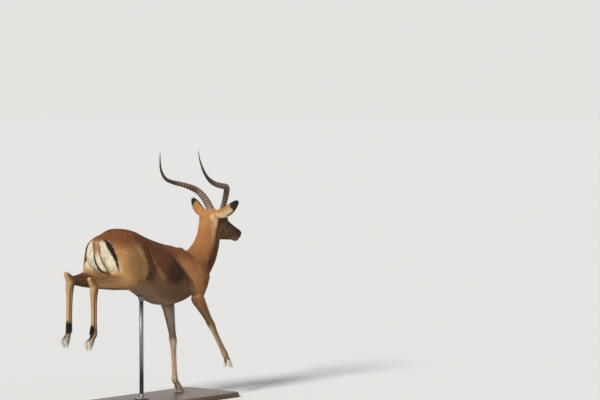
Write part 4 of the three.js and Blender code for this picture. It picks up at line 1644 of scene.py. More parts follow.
@dataclass
class Tufts:
    """Many tufts: where each is rooted, how it leans, its size and its colour."""

    roots: Array
    up: Array
    way: Array
    length: Array
    width: Array
    lean: Array
    colour: Array
    curl: float = 0.55

    def __len__(self) -> int:
        return len(self.roots)

    def pick(self, which: Array) -> Tufts:
        """Some of the tufts."""
        names = ("roots", "up", "way", "length", "width", "lean", "colour")
        return Tufts(*(getattr(self, name)[which] for name in names), self.curl)

    @staticmethod
    def join(parts: Sequence[Tufts]) -> Tufts:
        """All the tufts of several sets."""
        names = ("roots", "up", "way", "length", "width", "lean", "colour")
        return Tufts(*(np.concatenate([getattr(part, name) for part in parts]) for name in names))

    def points(self) -> Array:
        """The points, (n, 7, 3).

        A point is the root, plus the way times the length times its share along, plus the side
        times the width times its share across, plus up times the sum of the tuft's thickness times
        its share up and a rise that bows over: the length times the lean times the share along
        less `curl` of the share along squared.
        """
        side = np.cross(self.up, self.way)
        along, across, high = TUFT_SHAPE.T
        rise = self.length[:, None] * self.lean[:, None] * (along - self.curl * along**2)
        thick = self.width[:, None] * 0.3 * high
        return (
            self.roots[:, None]
            + self.way[:, None] * (self.length[:, None] * along)[..., None]
            + side[:, None] * (self.width[:, None] * across)[..., None]
            + self.up[:, None] * (rise + thick)[..., None]
        )

    def piece(self, name: str, place: Place, spots: Array, finish: Material) -> Object:
        """Makes one object of the tufts.

        Args:
            name: The object's name.
            place: Carries the ram's frame to the row's.
            spots: Each root's place on the unwrapped skin, from 0 to 1.
            finish: The material.
        """
        count = len(self)
        points = place.to_row(self.points().reshape(-1, 3))
        faces = (TUFT_FACES[None] + 7 * np.arange(count)[:, None, None]).reshape(-1, 3)
        mesh = new_mesh(name, points, faces)
        set_colour(mesh, "Pelt", np.repeat(self.colour, 7, axis=0))
        set_value(mesh, "Along", np.tile(TUFT_SHAPE[:, 0], count))
        flat = TUFT_SHAPE[:, :2] * vec(1, 0.8) + vec(0, 0.5) + np.abs(TUFT_SHAPE[:, 2:]) * vec(0, 0.1)
        corner = spots[:, None, None] * (1 - PATCH) + PATCH * flat[TUFT_FACES][None]
        set_uv(mesh, "OFBake", corner.reshape(-1, 2))
        mesh.materials.append(finish)
        thing = new_object(mesh)
        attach(thing, BODY)
        return thing


@dataclass(frozen=True)
class Limb:
    """A part of the body that is unwrapped on its own, round a line down its middle."""

    name: str
    line: Array
    girth: float
    side: int = 0

    def measure(self, points: Array) -> tuple[Array, Array, Array]:
        """Where points lie about the limb.

        Returns:
            The distance from the line over the limb's girth, the length along the line, and the
            angle round it.
        """
        gap, reach, which = nearest_on(points, self.line)
        tangent = unit(np.diff(self.line, axis=0))[which]
        starts = lengths_along(self.line)
        off = points - self.line[:-1][which] - tangent * (reach - starts[which])[:, None]
        across = sideways(tangent)
        deep = np.cross(tangent, across)
        ratio = gap / self.girth
        if self.side:
            ratio = np.where(points[:, 1] * self.side > 0, ratio, np.inf)
        return ratio, reach, np.arctan2(dot(off, across), dot(off, deep))


def limbs() -> list[Limb]:
    """The parts that the coat is unwrapped over."""
    spine = rows_of("-440 0 830; -300 0 810; -135 0 770; 0 0 700; 200 0 672; 380 0 700")
    parts = [
        Limb("trunk_left", spine, 150, 1),
        Limb("trunk_right", spine, 150, -1),
        Limb("neck", NECK[2:-1, :3], 95),
        Limb("head", HEAD.out(rows_of("-10 0 0; 90 0 -20; 180 0 -28; 270 0 -26")), 60),
        Limb("tail", TAIL[2:, :3], 26),
    ]
    for leg in LEGS:
        joints = [leg.joint(name) for name in (*leg.bones[0], "fetlock")]
        line = np.array([*joints, leg.foot.out(vec(6, 0, -20))])
        parts.append(Limb(f"leg_{leg.name}", line, 62))
    return parts


@dataclass
class Coat:
    """All the tufts that grow on the skin."""

    place: Place
    pelt: Pelt
    lie: Lie
    count: int = 118_000
    spread: float = 0.2
    crowding: float = 1.7  # how much denser the coat grows where its hair is shorter
    sunk: float = 0.2
    noise: Noise = field(default_factory=lambda: Noise(3))

    def grow(self, skin: Object) -> Tufts:
        """Roots tufts all over the skin, more of them where they are smaller.

        Triangles are weighed by their area over the size of a tuft there, and roots fall at even
        steps of the summed weight, at a random place in their triangle.
        """
        rng = random_numbers(5)
        mesh = skin.data
        points, normals, faces = self.place.to_ram(points_of(mesh)), normals_of(mesh), triangles_of(mesh)
        corners = points[faces]
        middle = corners.mean(1)
        area = norm(np.cross(corners[:, 1] - corners[:, 0], corners[:, 2] - corners[:, 0])) / 2
        _, length = self.lie.at(middle)
        weight = area / (length + 2) ** self.crowding * self.bare(middle)
        total = np.cumsum(weight)
        draws = (np.arange(self.count) + rng.random(self.count)) / self.count * total[-1]
        chosen = np.minimum(np.searchsorted(total, draws), len(faces) - 1)
        u, v = rng.random((2, self.count))
        over = u + v > 1
        u, v = np.where(over, 1 - u, u), np.where(over, 1 - v, v)
        share = np.stack([1 - u - v, u, v], 1)
        roots = (corners[chosen] * share[..., None]).sum(1)
        up = unit((normals[faces[chosen]] * share[..., None]).sum(1))
        return self.laid(roots, up, rng)

    def laid(self, roots: Array, up: Array, rng: np.random.Generator) -> Tufts:
        """Lays a tuft at each root along the coat."""
        way, length = self.lie.at(roots)
        drift = self.noise.layered(roots, 60) * 0.35 + rng.normal(0, self.spread, len(roots))
        side = np.cross(up, lain(way, up))
        way = way + side * drift[:, None]
        way = lain(way, up)
        length = length * rng.uniform(0.75, 1.25, len(roots))
        colour = self.pelt.colours(roots, up)
        clump = self.noise.layered(roots + 50, 14)
        tone = 1 + 0.1 * rng.normal(size=len(roots)) + 0.1 * clump
        warm = 1 + 0.03 * rng.normal(size=(len(roots), 3))
        return Tufts(
            roots - up * self.sunk,
            up,
            way,
            length,
            0.55 + 0.115 * length,
            rng.uniform(0.13, 0.27, len(roots)),
            colour * (np.clip(tone, 0.6, 1.5)[:, None] * warm),
        )

    def bare(self, points: Array) -> Array:
        """How thickly the coat grows: nowhere on the eyes, nose, mouth and in the hooves."""
        head = HEAD.into(points)
        x, away, z = head[:, 0], np.abs(head[:, 1]), head[:, 2]
        nose = (x > 259) & (z > -36) & (z < 2)
        horn = norm(np.stack([x - 61, away - 28, z - 36], 1)) < 19
        cover = np.where((on_head(points) > 0.5) & (nose | horn), 0.0, 1.0)
        for side in Side:
            _, inside, _, _ = Lids(side).measure(head)
            near = norm(head - Lids(side).centre) < 30
            cover = np.where(near & (inside > -1.6), 0.0, cover)
        for leg in LEGS:
            foot = leg.foot.into(points)
            cover = np.where((norm(foot) < 60) & (foot[:, 2] < -2), 0.0, cover)
        return cover

    def long_hair(self) -> Tufts:
        """The longer hair: the tail's fringe, the black tufts of the hind legs and the ears' roots."""
        rng = random_numbers(6)
        parts = [self.tail_hair(rng)]
        parts += [self.gland(leg, rng) for leg in LEGS if not leg.fore]
        return Tufts.join([*parts, self.crest(rng)])

    def tail_hair(self, rng: np.random.Generator, count: int = 2600) -> Tufts:
        """The tail's fringe: long hair that leaves the tail's middle line and fans to its sides."""
        share = rng.uniform(0.12, 0.97, count)
        across = rng.uniform(-1, 1, count)
        behind = rng.choice([1.0, -1.0], count, p=[0.68, 0.32])
        line = refine(TAIL, 8)
        starts = lengths_along(line[:, :3])
        at = share * starts[-1]
        row = read_at(at, starts, line[:, :6])
        ahead = read_at(at + 4, starts, line[:, :3])
        tangent = unit(ahead - row[:, :3] + 1e-6)
        side = sideways(tangent)
        out = unit(np.cross(side, tangent))
        out = out * np.where(out[:, :1] < 0, 1, -1)
        bulge = np.sqrt(np.clip(1 - across**2, 0, 1))
        thickness = np.where(behind > 0, row[:, 4], row[:, 3]) - 5.5
        roots = row[:, :3] + side * (across * (row[:, 5] - 5))[:, None]
        roots = roots + out * (behind * bulge * np.maximum(thickness, 1.5))[:, None]
        up = unit(out * behind[:, None] + side * (across * 0.8)[:, None])
        way = tangent + side * (across * 0.35)[:, None] + rng.normal(0, 0.07, (count, 3))
        way = lain(way, up)
        length = rng.uniform(16, 26, count) * np.interp(share, (0.12, 0.3, 0.85, 1), (0.6, 1, 0.9, 0.5))
        colour = self.pelt.tail(np.tile(self.pelt.palette.white, (count, 1)), roots + way * 3)
        tone = 1 + rng.normal(0, 0.07, count)
        return Tufts(
            roots, up, way, length, rng.uniform(1.6, 2.4, count), rng.uniform(0.05, 0.16, count),
            colour * tone[:, None],
        )

    def gland(self, leg: Leg, rng: np.random.Generator, count: int = 1100) -> Tufts:
        """The black brush behind a hind fetlock: hair that stands back and down from the leg."""
        line = GLANDS[leg.side]
        line_way = unit(leg.joint("fetlock") - leg.joint("hock"))
        back = unit(vec(-1, 0, 0) + line_way * line_way[0])
        side = np.cross(line_way, back)
        angle = rng.uniform(-1.9, 1.9, count)
        up = unit(back * np.cos(angle)[:, None] + side * np.sin(angle)[:, None])
        share = rng.beta(1.3, 1.9, count)
        starts = lengths_along(line)
        along = share * starts[-1] - 12
        middle = read_at(along, starts, line)
        roots = middle + line_way * np.minimum(along, 0)[:, None] + up * 9 + vec(13, 0, 0)
        way = unit(line_way + up * 0.35 + rng.normal(0, 0.16, (count, 3)))
        way = unit(way - up * dot(way, up)[:, None] * 0.5)
        length = rng.uniform(13, 24, count) * (1 - 0.45 * share)
        colour = np.tile(self.pelt.palette.black, (count, 1)) * rng.uniform(0.7, 1.7, (count, 1))
        return Tufts(
            roots, up, way, length, rng.uniform(1.2, 1.9, count), rng.uniform(0.15, 0.4, count), colour
        )

    def crest(self, rng: np.random.Generator, count: int = 900) -> Tufts:
        """Fuller hair on the crown, between the horns and the ears."""
        local = np.stack([rng.uniform(20, 84, count), rng.normal(0, 16, count), np.full(count, 50.0)], 1)
        rows = refine(SKULL, 6)
        half = np.interp(local[:, 0], rows[:, 0], rows[:, 5]) - 2
        rise = np.interp(local[:, 0], rows[:, 0], rows[:, 3]) - 2
        local[:, 1] = np.clip(local[:, 1], -half * 0.7, half * 0.7)
        bow = rise * np.sqrt(1 - (local[:, 1] / half) ** 2)
        local[:, 2] = np.interp(local[:, 0], rows[:, 0], rows[:, 2]) + bow
        up = unit(np.stack([np.zeros(count), local[:, 1] / half**2, local[:, 2] / rise**2], 1))
        way = unit(
            np.stack([-np.ones(count), local[:, 1] * 0.012, 0 * half], 1) + rng.normal(0, 0.16, (count, 3))
        )
        way = lain(way, up)
        roots = HEAD.out(local)
        up, way = HEAD.turn(up), HEAD.turn(way)
        tone = 1 + rng.normal(0, 0.12, count)
        colour = self.pelt.colours(roots, up) * tone[:, None]
        return Tufts(
            roots - up, up, way, rng.uniform(9, 14, count), rng.uniform(1.2, 1.8, count),
            rng.uniform(0.2, 0.42, count), colour,
        )

    def dress(self, tufts: Tufts, finish: Material) -> int:
        """Parts the tufts by limb and length, and makes a piece of each part.

        Returns:
            The number of triangles.
        """
        parts = limbs()
        measures = [part.measure(tufts.roots) for part in parts]
        owner = np.argmin(np.stack([ratio for ratio, _, _ in measures]), axis=0)
        total = 0
        for index, (part, (_, reach, angle)) in enumerate(zip(parts, measures)):
            mine = np.flatnonzero(owner == index)
            mine = mine[np.argsort(reach[mine], kind="stable")]
            pieces = max(1, math.ceil(len(mine) / TUFT_LIMIT))
            for number, chunk in enumerate(np.array_split(mine, pieces)):
                spots = np.stack([reach[chunk], angle[chunk]], 1)
                spots = (spots - spots.min(0)) / (spots.max(0) - spots.min(0))
                tufts.pick(chunk).piece(f"coat_{part.name}_{number + 1}", self.place, spots, finish)
                total += len(chunk) * len(TUFT_FACES)
                log.info("coat_%s_%d: %d tufts", part.name, number + 1, len(chunk))
        return total


# ---- ears, horns, eyes and hooves -----------------------------------------------------------------


@dataclass
class Dresser:
    """Makes a finished piece: an object in the row's frame, on its body, with its material."""

    place: Place

    def piece(self, name: str, surface: Surface, finish: Material, slot: Slot, *nodes: str) -> Object:
        """Makes one object from a surface in the ram's frame and hides the nodes it replaces."""
        thing = new_object(new_mesh(name, self.place.to_row(surface.points), surface.faces))
        thing.data.materials.append(finish)
        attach(thing, BODY)
        if nodes:
            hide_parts(*nodes)
        log.info("%s: %d triangles", name, len(surface.faces))
        return thing


@dataclass
class Ears:
    """Both ears, with their fringes of hair."""

    dresser: Dresser
    palette: Palette
    backs: int = 2600
    fringe: int = 1500

    def colours(self, ear: Ear, share: Array, turn: Array, inner: Array) -> Array:
        """Gold behind, paler along the lower side, with a black tip and rims, and pale within."""
        tone = self.palette
        lower = -turn * ear.side.value
        pale = smooth(-0.25, 0.45, lower) if ear.side is Side.RIGHT else smooth(0.5, 0.85, lower)
        back = blend(tone.gold * 0.72, tone.crown * 0.8, smooth(0.3, 0.05, share))
        back = blend(back, tone.white * vec(0.6, 0.5, 0.38), pale * 0.85)
        skin = blend(vec(0.3, 0.2, 0.15), tone.white, smooth(0.25, 0.85, np.abs(turn)) * 0.8)
        skin = blend(skin, vec(0.16, 0.1, 0.08), smooth(0.3, 0.02, share) * smooth(0.6, 0.2, np.abs(turn)))
        colour = np.where(inner[:, None], skin, back)
        start = 0.62 if ear.side is Side.RIGHT else 0.7
        tip = smooth(start, start + 0.07, share + 0.03 * np.cos(turn * 5) + 0.05 * np.abs(turn) ** 3)
        rim = smooth(0.62, 0.86, np.abs(turn)) * smooth(start - 0.36, start - 0.12, share)
        return blend(colour, tone.black, np.maximum(tip, rim * np.where(inner, 0.7, 0.9)))

    def build(self, skin_finish: Material, hair_finish: Material) -> None:
        """Makes both ears."""
        rng = random_numbers(8)
        for side in Side:
            ear = Ear(side)
            rings, shares, turns = ear.rings()
            surface = skin_over(rings).moved(HEAD.out)
            name = f"ear_{side.label}"
            if side is Side.RIGHT:
                surface = surface.flipped()
            thing = self.dresser.piece(name, surface, skin_finish, Slot.COAT, name)
            inner = turns > 5
            turn = np.where(inner, turns - 10, turns).ravel()
            values = [with_ends(part) for part in (shares, turn, inner * 1.0)]
            set_colour(thing.data, "Pelt", self.colours(ear, values[0], values[1], values[2] > 0.5))
            set_value(thing.data, "Upright", np.full(len(values[0]), 0.5))
            self.hair(ear, rng, hair_finish)

    def hair(self, ear: Ear, rng: np.random.Generator, finish: Material) -> None:
        """Short hair on the back, and long pale hair that crosses the cup from its rims."""
        count = self.backs + self.fringe
        share = np.sqrt(rng.uniform(0.001, 0.96, count))
        turn = rng.uniform(-0.99, 0.99, count)
        inner = np.arange(count) >= self.backs
        row = rng.choice([-0.86, -0.45, 0.0, 0.45, 0.86], count, p=[0.32, 0.13, 0.1, 0.13, 0.32])
        share = np.where(inner, rng.uniform(0.08, 0.86, count), share)
        turn = np.where(inner, np.clip(row + rng.normal(0, 0.05, count), -0.97, 0.97), turn)
        half = ear.thickness(share, turn) * np.where(inner, -1, 1)
        roots = ear.sheet(share, turn, half)
        beyond = ear.sheet(share, turn, half + np.where(inner, -1, 1))
        ahead = ear.sheet(np.minimum(share + 0.02, 1), turn, half)
        inward = ear.sheet(share, turn * 0.9, half)
        up = unit(beyond - roots)
        way = unit(ahead - roots) + np.where(
            inner[:, None], unit(inward - roots + 1e-9) * 0.9 * (np.abs(turn) > 0.3)[:, None], 0
        )
        way = way + rng.normal(0, 0.12, (count, 3))
        way = lain(way, up)
        length = np.where(
            inner, rng.uniform(9, 17, count) * np.interp(share, (0, 0.5, 0.9), (0.8, 1, 0.4)),
            rng.uniform(4, 7, count),
        )
        colour = self.colours(ear, share, turn, inner)
        colour = np.where((inner & (share < 0.6))[:, None], self.palette.white * 0.95, colour)
        tufts = Tufts(
            HEAD.out(roots), HEAD.turn(up), HEAD.turn(way), length, np.where(inner, 0.9, 1.1),
            np.where(inner, 0.35, 0.14), colour * rng.uniform(0.85, 1.12, (count, 1)),
        )
        spots = np.stack([share, np.where(inner, 0.75 + 0.24 * turn, 0.25 + 0.24 * turn)], 1)
        tufts.piece(f"coat_ear_{ear.side.label}", self.dresser.place, spots, finish)


HORN_PATHS = {
    Side.LEFT: rows_of("""
        63 26 32; 42 68 97; 16 105 144; -9 130 166; -48 131 168; -93 127 164; -138 135 160; -183 152 156;
        -228 169 160; -265 175 186; -295 172 229; -322 166 294
    """),
    Side.RIGHT: rows_of("""
        66 34 34; 46 69 99; 18 101 144; -9 124 170; -47 129 165; -92 126 158; -139 133 158; -182 151 160;
        -226 169 169; -265 176 195; -296 173 236; -315 167 281
    """),
}
# The longer radius at shares of the length.
HORN_TAPER = rows_of("0 24.5; 0.15 21.5; 0.3 19; 0.5 15.5; 0.66 11.5; 0.8 7.5; 0.9 4.6; 1 1.4")


def eased(rows: Array, width: int) -> Array:
    """Running means of each column, with the ends held."""
    padded = np.pad(rows, ((width // 2, width // 2), (0, 0)), "edge")
    return np.stack([np.convolve(column, np.ones(width) / width, "valid") for column in padded.T], 1)


@dataclass
class Horns:
    """The two lyre-shaped horns, ringed over their lower part."""

    dresser: Dresser
    ring_share: float = 0.64
    ring_count: int = 21
    ring_height: float = 3.0
    twist: float = 0.73
    flatness: float = 0.6
    dark_side: float = 0.72  # how much of the pale ring crests shows on the right horn, which is darker
    rows: int = 620
    sides: int = 56

    def ring(self, share: Array) -> Array:
        """The height of the rings at each share of the length, from 0 to 1.

        A ring is a crest that rises gently from below and falls off sharply above it. Rings draw
        together up the horn and fade out at the end of the ringed part.
        """
        phase = (share / self.ring_share) ** 0.92 * self.ring_count
        part = phase % 1
        crest = smooth(0.1, 0.62, part) * smooth(1.0, 0.8, part)
        return crest * smooth(self.ring_share, self.ring_share * 0.9, share) * smooth(0.01, 0.045, share)

    def build(self, finish: Material) -> None:
        """Makes both horns.

        A horn is a path with oval sections, turned outwards. The radius tapers from base to tip and
        swells at each ring, most at the front, and shallow grooves run along it. The right horn is
        made like a left one and mirrored.
        """
        for side in Side:
            path = np.array([[*point, 0, 0, 0, 2] for point in HORN_PATHS[side]])
            fine = refine(path, 60)[:, :3]
            starts = lengths_along(fine)
            share = np.linspace(0, 1, self.rows)
            centre = read_at(share * starts[-1], starts, fine)
            centre = blend(centre, eased(centre, 21), smooth(0, 0.03, share) * smooth(1, 0.97, share))
            tangent = unit(np.gradient(centre, axis=0))
            across = sideways(tangent)
            deep = np.cross(tangent, across)
            across, deep = (
                across * math.cos(self.twist) - deep * math.sin(self.twist),
                deep * math.cos(self.twist) + across * math.sin(self.twist),
            )
            turn = circle(self.sides)
            bare = edge(share, HORN_TAPER)[:, None]
            taper = blend(bare, eased(bare, 61), smooth(1, 0.93, share))
            ring = self.ring(share)[:, None]
            facing = 0.84 - 0.16 * np.cos(turn + self.twist)
            swell = ring * facing * self.ring_height * (1 - 0.55 * share[:, None])
            groove = 0.3 * np.cos(9 * turn + 2 * share[:, None]) * smooth(0.8, 0.5, share)[:, None]
            groove = groove * taper / 22
            wobble = Noise(11 + side.value).layered(centre, 30)[:, None] * 0.5 * taper / 22
            sunk = 0.9 * smooth(0.66, 0.5, share)[:, None]
            radius = np.maximum(taper - sunk + swell + groove + wobble, 0.5)
            oval = self.flatness + (0.9 - self.flatness) * smooth(0, 0.35, share)[:, None]
            rings = (
                centre[:, None]
                + deep[:, None] * (np.cos(turn) * radius)[..., None]
                + across[:, None] * (np.sin(turn) * radius * oval)[..., None]
            )
            surface = skin_over(rings * vec(1, side.value, 1)).moved(HEAD.out)
            corners = surface.points[surface.faces]
            if dot(corners[:, 0], np.cross(corners[:, 1], corners[:, 2])).sum() < 0:
                surface = surface.flipped()
            name = f"horn_{side.label}"
            thing = self.dresser.piece(name, surface, finish, Slot.HORN, name)
            set_value(thing.data, "Share", with_ends(np.repeat(share, self.sides)))
            wear = ring * facing * (1 if side is Side.LEFT else self.dark_side)
            set_value(thing.data, "Ring", with_ends(wear, (0, 0)))


@dataclass
class Eyes:
    """The two eyeballs, with a clear bulge over the iris and a level pupil."""

    dresser: Dresser
    rows: int = 60
    columns: int = 72
    iris: float = 11.2
    pupil: tuple[float, float] = (8.2, 4.6)
    bulge: float = 1.0

    def build(self, finish: Material) -> None:
        """Makes both eyes: a sphere whose front is drawn out by a soft step over the iris."""
        for side in Side:
            lids = Lids(side)
            axes = lids.axes()
            angle = np.linspace(0.02, np.pi - 0.02, self.rows)
            off = np.sin(angle) * EYE_RADIUS
            front = smooth(self.iris + 2.5, self.iris - 4, off) * (angle < np.pi / 2)
            radius = EYE_RADIUS + self.bulge * front
            surface = skin_over(
                level_rings(radius * np.sin(angle), radius * np.cos(angle), self.columns)[::-1]
            )
            flat = norm(surface.points[:, :2]) + 99 * (surface.points[:, 2] < 0)
            slit = np.hypot(surface.points[:, 0] / self.pupil[0], surface.points[:, 1] / self.pupil[1])
            slit = slit + 9 * (surface.points[:, 2] < 0)
            surface = surface.moved(
                lambda points, axes=axes, lids=lids: HEAD.out(points @ axes + lids.centre)
            )
            if np.linalg.det(axes) < 0:
                surface = surface.flipped()
            name = f"eye_{side.label}"
            thing = self.dresser.piece(name, surface, finish, Slot.EYE, name)
            set_value(thing.data, "Iris", np.minimum(flat / self.iris, 4))
            set_value(thing.data, "Pupil", np.minimum(slit, 4))


@dataclass
class Hooves:
    """Two claws to a foot, each a curved, pointed shell with growth lines and a flat sole."""

    dresser: Dresser
    rows_of_claw: tuple[tuple[float, float, float, float, float], ...] = (
        (-6, 9, 13, 10, 6.6),
        (-5, 6, 17, 14, 8),
        (-3.5, 1, 19.5, 15.5, 8.9),
        (-2, -4, 22, 17, 9.6),
        (4, -18, 26, 21, 10.6),
        (8, -29, 29.4, 23.4, 10.9),
        (9, -31.4, 29.4, 23.2, 10.8),
        (9, -32, 27.8, 21.6, 9.8),
    )
    offset: float = 11.4
    ridges: float = 0.28

    def build(self, finish: Material, pale_finish: Material) -> None:
        """Makes all eight claws, paler ones on the right forefoot.

        A claw's rings are rounded outlines, pointed at the toe and flat on the inner side, in a
        stack from the hair down to the sole, with a fine wave for the growth lines.
        """
        for leg in LEGS:
            for label, towards in (("outer", leg.side.value), ("inner", -leg.side.value)):
                rows = np.array(
                    [[x, 0, z, front, back, width, 2.5] for x, z, front, back, width in self.rows_of_claw]
                )
                loft = Loft(rows, vec(0, 0, -1), sides=40, steps=10)
                rings = loft.rings()
                share = np.linspace(0, 1, len(rings))
                middle = rings.mean(1, keepdims=True)
                down = share[:, None, None]
                wave = self.ridges / 20 * np.sin(down * 60) * smooth(0.1, 0.3, down)
                wave = 1 + wave * smooth(0.95, 0.85, down)
                rings = middle + (rings - middle) * vec(1, 1, 0) * wave + (rings - middle) * vec(0, 0, 1)
                ahead = (rings[..., 0] - middle[..., 0]) / 29
                inner = rings[..., 1] * towards < 0
                pointed = 1 - 0.45 * smooth(0.25, 1.0, ahead)
                rings[..., 1] *= pointed * np.where(inner, 0.86, 1.0)
                rings[..., 1] += towards * (self.offset + 1.6 * smooth(0.2, 1, ahead) * share[:, None])
                surface = skin_over(rings).moved(leg.foot.out)
                name = f"hoof_{leg.name}_{label}"
                reaching = leg.fore and leg.side is Side.RIGHT
                thing = self.dresser.piece(
                    name, surface, pale_finish if reaching else finish, Slot.HOOF, name
                )
                set_value(thing.data, "Share", with_ends(np.repeat(share, loft.sides)))


# ---- the stand ------------------------------------------------------------------------------------


AXIS = 0.0001  # the least radius of a turned shape, in metres
# The board's moulding in metres: how far in from the edge, and the height.
MOULDING = rows_of("""
    0.0015 0; 0 0.0015; 0 0.015; 0.0006 0.0165; 0.003 0.0172; 0.0034 0.0186;
    0.0036 0.0206; 0.0046 0.0236; 0.0064 0.0264; 0.009 0.0286; 0.0122 0.0297; 0.015 0.03
""")


@dataclass
class Stand:
    """The board with a moulded edge, and the steel rod with its flange, screws and cup."""

    dresser: Dresser
    corner: float = 0.04
    screw_circle: float = 0.031
    screw_radius: float = 0.0048
    cup_height: float = 0.016
    collar: float = 0.019

    def turned(self, profile: Array, centre: Array, sides: int = 64) -> Surface:
        """A turned shape: a profile of radius and height carried round an upright axis."""
        surface = skin_over(level_rings(*profile.T, sides)[::-1])
        return surface.moved(lambda points: points + centre * vec(1, 1, 0))

    def add(self, name: str, surface: Surface, finish: Material, slot: Slot, *nodes: str) -> None:
        """Adds a piece whose surface is already in the row's frame."""
        self.dresser.piece(name, surface.moved(self.dresser.place.to_ram), finish, slot, *nodes)

    def board(self) -> Surface:
        """The board: its moulding's profile carried round a rectangle with round corners."""
        low, high = np.array(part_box("stand_base"))
        middle, half = (low + high) / 2, (high - low) / 2
        rings = []
        for inset, height in MOULDING:
            radius = self.corner - inset
            points = []
            for quarter, (sx, sy) in enumerate(((1, 1), (-1, 1), (-1, -1), (1, -1))):
                turn = np.linspace(0, np.pi / 2, 13) + quarter * np.pi / 2
                cx, cy = sx * (half[0] - self.corner), sy * (half[1] - self.corner)
                points.append(
                    np.stack([cx + radius * np.cos(turn), cy + radius * np.sin(turn), turn * 0 + height], 1)
                )
            rings.append(np.concatenate(points) + middle * vec(1, 1, 0))
        return skin_over(np.array(rings)[::-1])

    def build(self) -> None:
        """Makes the board, flange, screws, rod and cup."""
        wood, round_steel = WoodFinish().material(), SteelFinish("steel_turned", (1, 1, 1)).material()
        rod_steel = SteelFinish("steel_rod").material()
        self.add("stand_board", self.board(), wood, Slot.BOARD, "stand_base")
        low, high = np.array(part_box("stand_flange"))
        centre, wide = (low + high) / 2, (high[0] - low[0]) / 2
        base, top = low[2], high[2]
        rim = rows_of("0 -0.003; -0.0008 -0.0012; -0.003 0") + vec(wide, top)
        neck = rows_of("0.0185 0; 0.0165 0.0008; 0.0155 0.004; 0.0155 0.022; 0.0148 0.0234; 0.0122 0.0238")
        plate = np.concatenate([[(0.001, base), (wide, base)], rim, neck + vec(0, top)])
        self.add("stand_flange_plate", self.turned(plate, centre), round_steel, Slot.STEEL, "stand_flange")
        heads = []
        for turn in np.arange(4) * np.pi / 2 + np.pi / 4:
            spot = centre + vec(math.cos(turn), math.sin(turn), 0) * self.screw_circle
            dome = rows_of("1 -0.001; 1 0.0004; 0.86 0.0013; 0.5 0.0018; 0.42 0.0018; 0.4 0.0006")
            dome = dome * vec(self.screw_radius, 1) + vec(0, top)
            dome = np.concatenate([dome, [(AXIS, top + 0.0005)]])
            heads.append(self.turned(dome, spot, 24))
        self.add("stand_screws", Surface.join(heads), round_steel, Slot.STEEL)
        foot, head = np.array(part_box("stand_rod"))
        radius = (head[0] - foot[0]) / 2
        reach = head[2] + 0.012
        ends = [(AXIS, foot[2]), (radius, foot[2]), (radius, foot[2] + 0.3), (radius, reach), (AXIS, reach)]
        rod = np.array(ends)
        self.add("stand_rod_shaft", self.turned(rod, (foot + head) / 2), rod_steel, Slot.STEEL, "stand_rod")
        z = head[2] - self.cup_height
        sleeve = rows_of("0 -0.012; 0.003 -0.0115; 0.0036 -0.006; 0.004 0") + vec(radius, z)
        dish = rows_of("0 0.008; 0.004 0.0145; 0.005 0.018; 0.002 0.02") + vec(self.collar, z)
        cup = np.concatenate([sleeve, dish, [(AXIS, z + 0.022)]])
        self.add("stand_cup", self.turned(cup, (foot + head) / 2), round_steel, Slot.STEEL)


# ---- finishes -----------------------------------------------------------------------------------


@dataclass
class Value:
    """A socket or a number in a material, on which Python's operators add Math nodes."""

    graph: Graph
    source: Socket | float

    def _math(self, operation: str, first: Value | float, second: Value | float) -> Value:
        """One Math node over two values."""
        return self.graph.value("ShaderNodeMath", {"operation": operation}, {0: first, 1: second})

    def __add__(self, other: Value | float) -> Value:
        """This plus the other."""
        return self._math("ADD", self, other)

    def __sub__(self, other: Value | float) -> Value:
        """This less the other."""
        return self._math("SUBTRACT", self, other)

    def __rsub__(self, other: float) -> Value:
        """The other less this."""
        return self._math("SUBTRACT", other, self)

    def __mul__(self, other: Value | float) -> Value:
        """This times the other."""
        return self._math("MULTIPLY", self, other)

    __radd__ = __add__
    __rmul__ = __mul__

    def step(self, low: float, high: float, start: float = 0, end: float = 1) -> Value:
        """A soft step from `start` to `end` as this goes from `low` to `high`."""
        settings = {"interpolation_type": "SMOOTHSTEP", "clamp": True}
        inputs = {"Value": self, "From Min": low, "From Max": high, "To Min": start, "To Max": end}
        return self.graph.value("ShaderNodeMapRange", settings, inputs, "Result")


